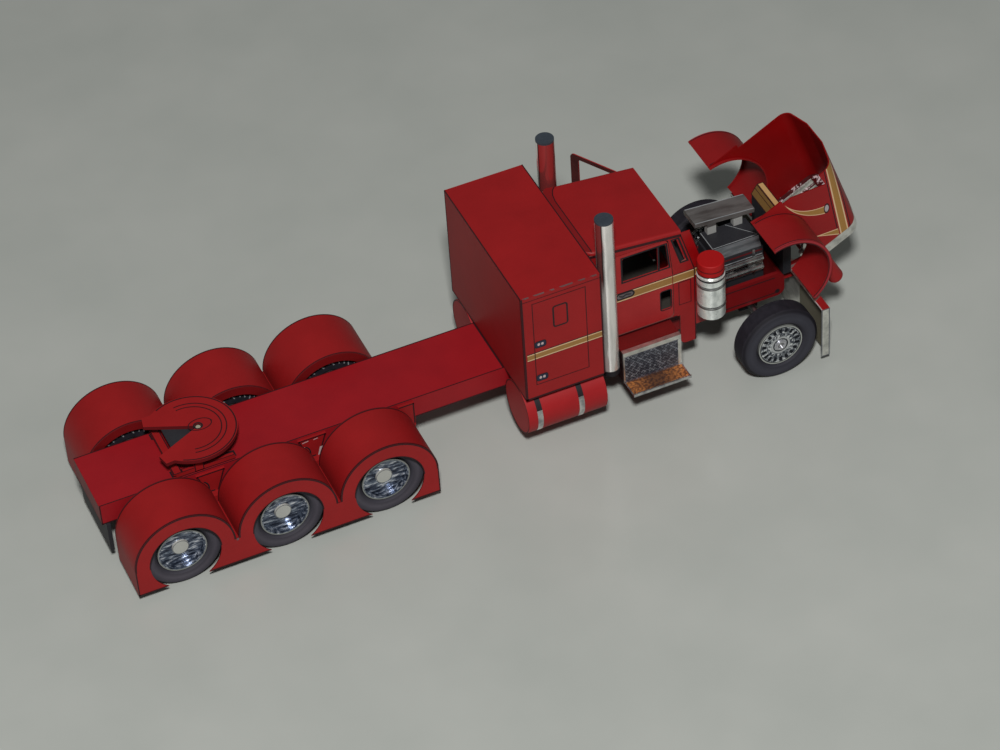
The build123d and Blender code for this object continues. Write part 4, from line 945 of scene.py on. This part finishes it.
def print_cab():
    """Stripes and lines of the cab's sides, a painted shadow under the roof's edge, and the two doors.
    """
    low, high = mm_box("cab_side_right")
    door_low, door_high = mm_box("door_right")
    half, rear_x, front_x = abs(low.y), low.x, high.x
    stripe_low, stripe_high = [door_low.z + z for z in DOOR_STRIPE]
    lean = PILLAR_LEAN / PILLAR_H
    slot_x, slot_z = front_x - lean * 7.3 - 1.85, 42.1
    corners = ((-0.95, -4.0), (0.95, -4.0), (0.95, 4.0), (-0.95, 4.0))
    slot = [(slot_x + ahead - lean * up, slot_z + up) for ahead, up in corners]
    for side in (-1, 1):
        face = side_face(0, side * half, 0)
        stripe(CHASSIS, face, rear_x, door_low.x - 0.1, stripe_low, stripe_high)
        stripe(CHASSIS, face, door_high.x + 0.1, front_x, stripe_low, stripe_high)
        # painted shadow: the wide dark line along the top of each side, under the roof's overhang
        draw(face, [(rear_x, 49.35), (front_x - PILLAR_LEAN, 46.75)], 0.8)
        draw(face, [(front_x - 3.6, 46.8), (front_x - 0.15, SCREEN_FOOT), (front_x - 0.15, 11.5)])
        draw(face, [(rear_x, 21.2), (front_x - 5.0, 21.2)], 0.35)
        ring(face, rect(49.1, 24.5, 52.3, 31.7), 0.2)
        ring(face, slot, 0.45, ink_black)
    collar = side_face(0, mm_box("cowl")[0].y, 0)
    stripe(CHASSIS, collar, front_x, front_x + 2.6, stripe_low + 0.2, stripe_high - 0.1)
    draw(collar, [(front_x + 2.5, SCREEN_FOOT), (front_x - 0.9, 46.9)], 0.25)
    print_door("door_right", side_face(door_low.x, -half, door_low.z))
    print_door("door_left", side_face(door_low.x, half, door_low.z, swing))


def print_roof():
    """The glued strip behind the roof's fold, painted darker red than the rest as shade."""
    low, high = mm_box("cab_side_right")
    run = high.x - PILLAR_LEAN - low.x
    size = math.hypot(run, EAVE_FALL)
    ahead, up = (run / size, 0, -EAVE_FALL / size), (EAVE_FALL / size, 0, run / size)
    slope = Face((low.x, 0, 49.6), ahead, (0, 1, 0), up)
    fold = [(1.9, -12.9), (1.9, 7.8), (2.3, 10.2), (3.1, 12.0), (4.0, 13.0)]
    near_corner = arc(3.0, -10.6, 2.9, 180, 250, 8)
    far_corner = arc(3.0, 10.6, 2.9, 110, 180, 8)
    # painted shade: the strip is darker red than the roof
    fill(shaded_strip_red, slope, fold + far_corner + near_corner, 1.0 + LIFT)
    draw(slope, fold, 0.28, lift=1.0 + 2 * LIFT)


def print_steps():
    """Foil and printed tread plate on the step boxes."""
    low, high = mm_box("step_box_right")
    long = high.x - low.x
    foot, brim = low.z + 0.4, high.z - 1.3
    for side in (-1, 1):
        riser_y = side * (STEP_ROOT + RISER_OUT)
        tread_y = side * (STEP_ROOT + RISER_OUT + TREAD_OUT)
        start, end = sorted((riser_y, riser_y - side * 1.2))
        fill(foil_white, top_face(low.x, 0, high.z), rect(0, start, long, end))
        riser = side_face(low.x, riser_y, 0)
        fill(foil_white, riser, rect(0, brim, long, high.z))
        fill(tread_plate, riser, rect(0, foot, long, brim))
        fill(foil_white, riser, rect(long - 0.9, foot, long, brim), OVER)
        fill(foil_strip, riser, rect(0, foot, 0.3, brim), OVER)
        tread = top_face(low.x, 0, low.z + 0.3)
        start, end = sorted((riser_y, tread_y - side * 0.3))
        fill(copper_foil, tread, rect(0, start, long, end))
        ring(tread, rect(0.15, start + 0.15, long - 0.15, end - 0.15), ink=foil_strip)
        fill(foil_strip, side_face(low.x, tread_y, low.z), rect(0, 0, long, 0.8))
        start, end = sorted((tread_y, tread_y - side * 0.3))
        fill(foil_strip, top_face(low.x, 0, low.z + 0.8), rect(0, start, long, end))
        wall = rear_face(low.x, 0, 0)
        start, end = sorted((side * 9.2, riser_y))
        fill(side_plate, wall, rect(start, low.z, end, high.z - 0.3))
        edge = riser_y - side * 0.2
        draw(wall, [(edge, low.z), (edge, high.z)], 0.4, foil_strip)


def print_stacks():
    """Painted shadow round the stacks' feet, and hoops of the air cleaner can and its cap: wire bands
    and dark painted shadow lines.
    """
    low, high = mm_box("exhaust_stack_right")
    radius = (high.x - low.x) / 2
    for side in (-1, 1):
        middle = ((low.x + high.x) / 2, side * (abs(low.y) - radius), 0)
        # painted shadow: a dark ring round the foot of each stack
        wrap(ink_black, middle, radius, ROUND, (low.z, low.z + 1.6), "z")
    low, high = mm_box("air_cleaner_can")
    cap_low, cap_high = mm_box("air_cleaner_cap")
    radius, cap_r = (high.x - low.x) / 2, (cap_high.x - cap_low.x) / 2
    middle = ((low.x + high.x) / 2, low.y + radius, 0)
    # painted shadow: the dark hoops are shadow lines under the can's rim, round the cap and beside each
    # wire band
    # each hoop: ink, radius, foot and height
    hoops = [(ink_black, radius, low.z + 11.9, 0.5), (ink_line, cap_r, cap_low.z + 1.5, 0.25),
             (ink_line, cap_r, cap_low.z, 0.3)]
    for z in (low.z + 3.1, low.z + 9.4):
        hoops += [(ink_black, radius, z, 0.22), (wire, radius + 0.12, z + 0.22, 0.48),
                  (ink_black, radius, z + 0.7, 0.15)]
    for ink, reach, z, tall in hoops:
        wrap(ink, middle, reach, ROUND, (z, z + tall), "z")


# ---- engine, header tank and bumper
COVER_CHAMFER = 1.7
DUCT_FALL = 1.2
HEADER_LEAN = 1.7


def print_engine_bay():
    """Bright edges of the engine's cover, bands on its side, and the duct over it."""
    low, high = mm_box("engine_cover")
    top = top_face(low.x, 0, high.z)
    right = low.y + COVER_CHAMFER
    long, tall = high.x - low.x, high.z - low.z
    draw(top, [(0.2, right + 0.1), (long - 0.2, right + 0.1)], 0.2, ink_silver)
    draw(top, [(0.15, right), (0.15, high.y - 0.2)], 0.2, ink_silver)
    draw(top, [(long * 0.55, high.y - 0.2), (long - 0.2, right + 0.3)], 0.16, ink_silver)
    size = math.hypot(tall, COVER_CHAMFER)
    lean, rise = COVER_CHAMFER / size, tall / size
    side = Face(low, (1, 0, 0), (0, lean, rise), (0, -rise, lean))
    fill(streaky_foil, side, rect(0, 0.2, long, 2.9))
    low, high = mm_box("engine_block")
    wall = side_face(low.x, low.y, 0)
    long = high.x - low.x
    # each band: foot, height and ink
    for z, tall, ink in ((26.2, 0.5, deep_red), (24.9, 0.35, ink_silver), (23.6, 1.0, deep_red),
                         (21.9, 0.35, ink_silver), (20.6, 0.8, deep_red), (19.5, 0.3, ink_silver)):
        fill(ink, wall, rect(0.3, z, long - 0.3, z + tall))
    fill(foil_strip, wall, rect(long - 3.0, 18.8, long - 2.3, 27.2), OVER)
    fill(ink_pale, wall, rect(long - 2.1, 20.0, long - 0.2, 23.2), OVER)
    low, high = mm_box("intake_duct")
    long = high.x - low.x
    for y in (low.y + 0.15, high.y - 0.15):
        edge = Face((low.x, y, high.z), (1, 0, -DUCT_FALL / long), (0, 1, 0), (0, 0, 1))
        draw(edge, [(0.2, 0), (long - 0.2, 0)], ink=ink_silver)
    end = rect(low.y, high.z - DUCT_FALL, high.y, high.z)
    fill(foil_white, rear_face(low.x, 0, 0), end)


def print_nose():
    """Prints on the header tank and the bumper, and a painted red reflection at each end of the bumper's
    flange.
    """
    low, high = mm_box("header_tank")
    half, rise = high.y, high.z - low.z
    size = math.hypot(rise, HEADER_LEAN)
    up, out = (HEADER_LEAN / size, 0, rise / size), (-rise / size, 0, HEADER_LEAN / size)
    slant = Face((low.x, 0, low.z), (0, 1, 0), up, out)
    fill(gold_deep, slant, rect(-half, 0, half, size))
    ring(slant, rect(0.1 - half, 0.1, half - 0.1, size - 0.1), 0.22)
    draw(slant, [(-half, size * 0.62), (half, size * 0.62)], 0.18)
    lid = rect(HEADER_LEAN + 0.1, 0.1 - half, high.x - low.x - 0.1, half - 0.1)
    ring(top_face(low.x, 0, high.z), lid, 0.22)
    low, high = mm_box("bumper")
    flange = top_face(high.x, 0, high.z)
    edge = rect(-2.1, low.z + 0.12, -0.1, high.z - 0.12)
    for side in (-1, 1):
        end = side * high.y
        # painted reflection: red patches on the foil flange stand in for the red fenders mirrored in it
        fill(red, flange, [(-2.2, end - side * 3.6), (-2.2, end), (0, end), (0, end - side * 4.8)])
        draw(flange, [(-2.1, end - side * 3.6), (-2.1, end)], 0.22, ink_white)
        ring(side_face(high.x, end, 0), edge, 0.22, ink_grey)
    back = rear_face(high.x - 0.3, 0, 0)
    fill(olive_card, back, rect(0.4 - high.y, low.z, -9.6, high.z - 0.4))
    fill(olive_card, back, rect(9.6, low.z, high.y - 0.4, high.z - 0.4))


# ---- hood and hubs
FENDER_FACE = 23.4
NOSE_R = 11.5
NOSE_Z = 12.4
HUB_FACE = 21.9
INNER_WALL = 11.3


def print_hood():
    """Joint lines of the front fenders, drawn on the closed hood and tilted with it."""
    for side in (-1, 1):
        centre = (FRONT_X, 0, NOSE_Z)
        for inner, wide, ink in ((12.25, 0.3, ink_line), (FENDER_FACE - 0.55, 0.25, ink_line),
                                 (FENDER_FACE - 0.3, 0.3, ink_rose)):
            span = sorted((side * inner, side * (inner + wide)))
            prints.band("hood", ink, centre, NOSE_R, (172, 10), span, "y", tilt)
        face = side_face(0, side * FENDER_FACE, 0, tilt)
        prints.line("hood", ink_rose, face, arc(FRONT_X, NOSE_Z, NOSE_R - 0.35, 9, 174, 40), 0.5)
        prints.line("hood", ink_line, face, arc(FRONT_X, NOSE_Z, NOSE_R - 0.85, 9, 174, 40), 0.25)


def print_hubs():
    """Pale discs over the rear axles' rod ends, and glue marks on the inner sidewalls."""
    for number, axle_x in enumerate(REAR_AXLES, start=1):
        body = f"rear_axle_{number}"
        for side in (-1, 1):
            hub = side_face(axle_x, side * HUB_FACE, REAR_R)
            prints.shape(body, hub_card, hub, arc(0, 0, 2.08, 0, 345, 23))
            prints.line(body, ink_grey, hub, arc(0, 0, 2.0, 0, 360, 24), 0.16, True)
            inner = Face((axle_x, side * INNER_WALL, REAR_R), (1, 0, 0), (0, 0, 1), (0, -side, 0))
            for turn in range(0, 360, 9):
                a = math.radians(turn)
                b = math.radians(turn + 4 + 3.0 * math.sin(turn * 1.7 + number))
                near, far = 8.6 + 0.3 * math.sin(turn), 9.9 + 0.3 * math.cos(turn * 2.3)
                ends = [(near * math.cos(a), near * math.sin(a)), (far * math.cos(b), far * math.sin(b))]
                prints.line(body, ink_silver, inner, ends)


print_fenders()
print_webs()
print_deck()
print_coupling()
print_sleeper()
print_cab()
print_roof()
print_steps()
print_stacks()
print_engine_bay()
print_nose()
print_hood()
print_hubs()
prints.finish()


# ==== camera, light and floor
FOCAL_PX = 3723.1
FRAME_PX = 1000
SENSOR = 36.0
CAM_AZ, CAM_EL, CAM_ROLL = -21.17, 43.09, -4.2
CAM_DISTANCE = 907.94
CAM_TARGET = Vector((3.58, -6.8, 15.0))
KEY_PLACE = Vector((-0.24, -0.64, 0.875))
KEY_TARGET = Vector((0, 0, 0.02))
KEY_SIZE = 0.09
KEY_POWER = 10.6
WORLD_TINT = (0.92, 0.96, 0.95, 1)
WORLD_STRENGTH = 0.125
FLOOR_HALF = 3.0


def place_camera():
    """The camera, CAM_EL up and CAM_AZ round from square on to the right side, rearward."""
    az, el, roll = (math.radians(a) for a in (CAM_AZ, CAM_EL, CAM_ROLL))
    back = Vector((math.sin(az) * math.cos(el), -math.cos(az) * math.cos(el), math.sin(el)))
    right = (-back).cross(Vector((0, 0, 1))).normalized()
    up = right.cross(-back)
    x = right * math.cos(roll) + up * math.sin(roll)
    y = -right * math.sin(roll) + up * math.cos(roll)
    data = bpy.data.cameras.new("camera")
    data.sensor_fit = "HORIZONTAL"
    data.sensor_width = SENSOR
    data.lens = FOCAL_PX / FRAME_PX * SENSOR
    data.clip_start = 0.05
    camera = bpy.data.objects.new("camera", data)
    place = (CAM_TARGET + back * CAM_DISTANCE) * MM
    camera.matrix_world = Matrix.Translation(place) @ Matrix((x, y, back)).transposed().to_4x4()
    scene.collection.objects.link(camera)
    scene.camera = camera


def add_key_light():
    """One small lamp, high at the picture's near left, aimed at the middle of the model."""
    data = bpy.data.lights.new("key", "AREA")
    data.shape = "RECTANGLE"
    data.size = data.size_y = KEY_SIZE
    data.energy = KEY_POWER
    lamp = bpy.data.objects.new("key", data)
    lamp.location = KEY_PLACE
    lamp.rotation_euler = (KEY_TARGET - KEY_PLACE).to_track_quat("-Z", "Y").to_euler()
    scene.collection.objects.link(lamp)


def set_stage():
    """The world, the lamp and the floor."""
    world = bpy.data.worlds.new("world")
    world.use_nodes = True
    scene.world = world
    back = world.node_tree.nodes["Background"]
    back.inputs["Color"].default_value = WORLD_TINT
    back.inputs["Strength"].default_value = WORLD_STRENGTH
    add_key_light()
    mesh = bpy.data.meshes.new("floor")
    r = FLOOR_HALF
    mesh.from_pydata([(-r, -r, 0), (r, -r, 0), (r, r, 0), (-r, r, 0)], [], [(0, 1, 2, 3)])
    floor = bpy.data.objects.new("floor", mesh)
    scene.collection.objects.link(floor)
    look = Shader("floor_paint", 0.3, 0.4)
    look.colour(look.ramp(look.noise(40.0), [(0.3, (170, 173, 167)), (0.7, (178, 180, 174))]))
    mesh.materials.append(look.mat)


place_camera()
set_stage()
scene.view_settings.view_transform = "Standard"
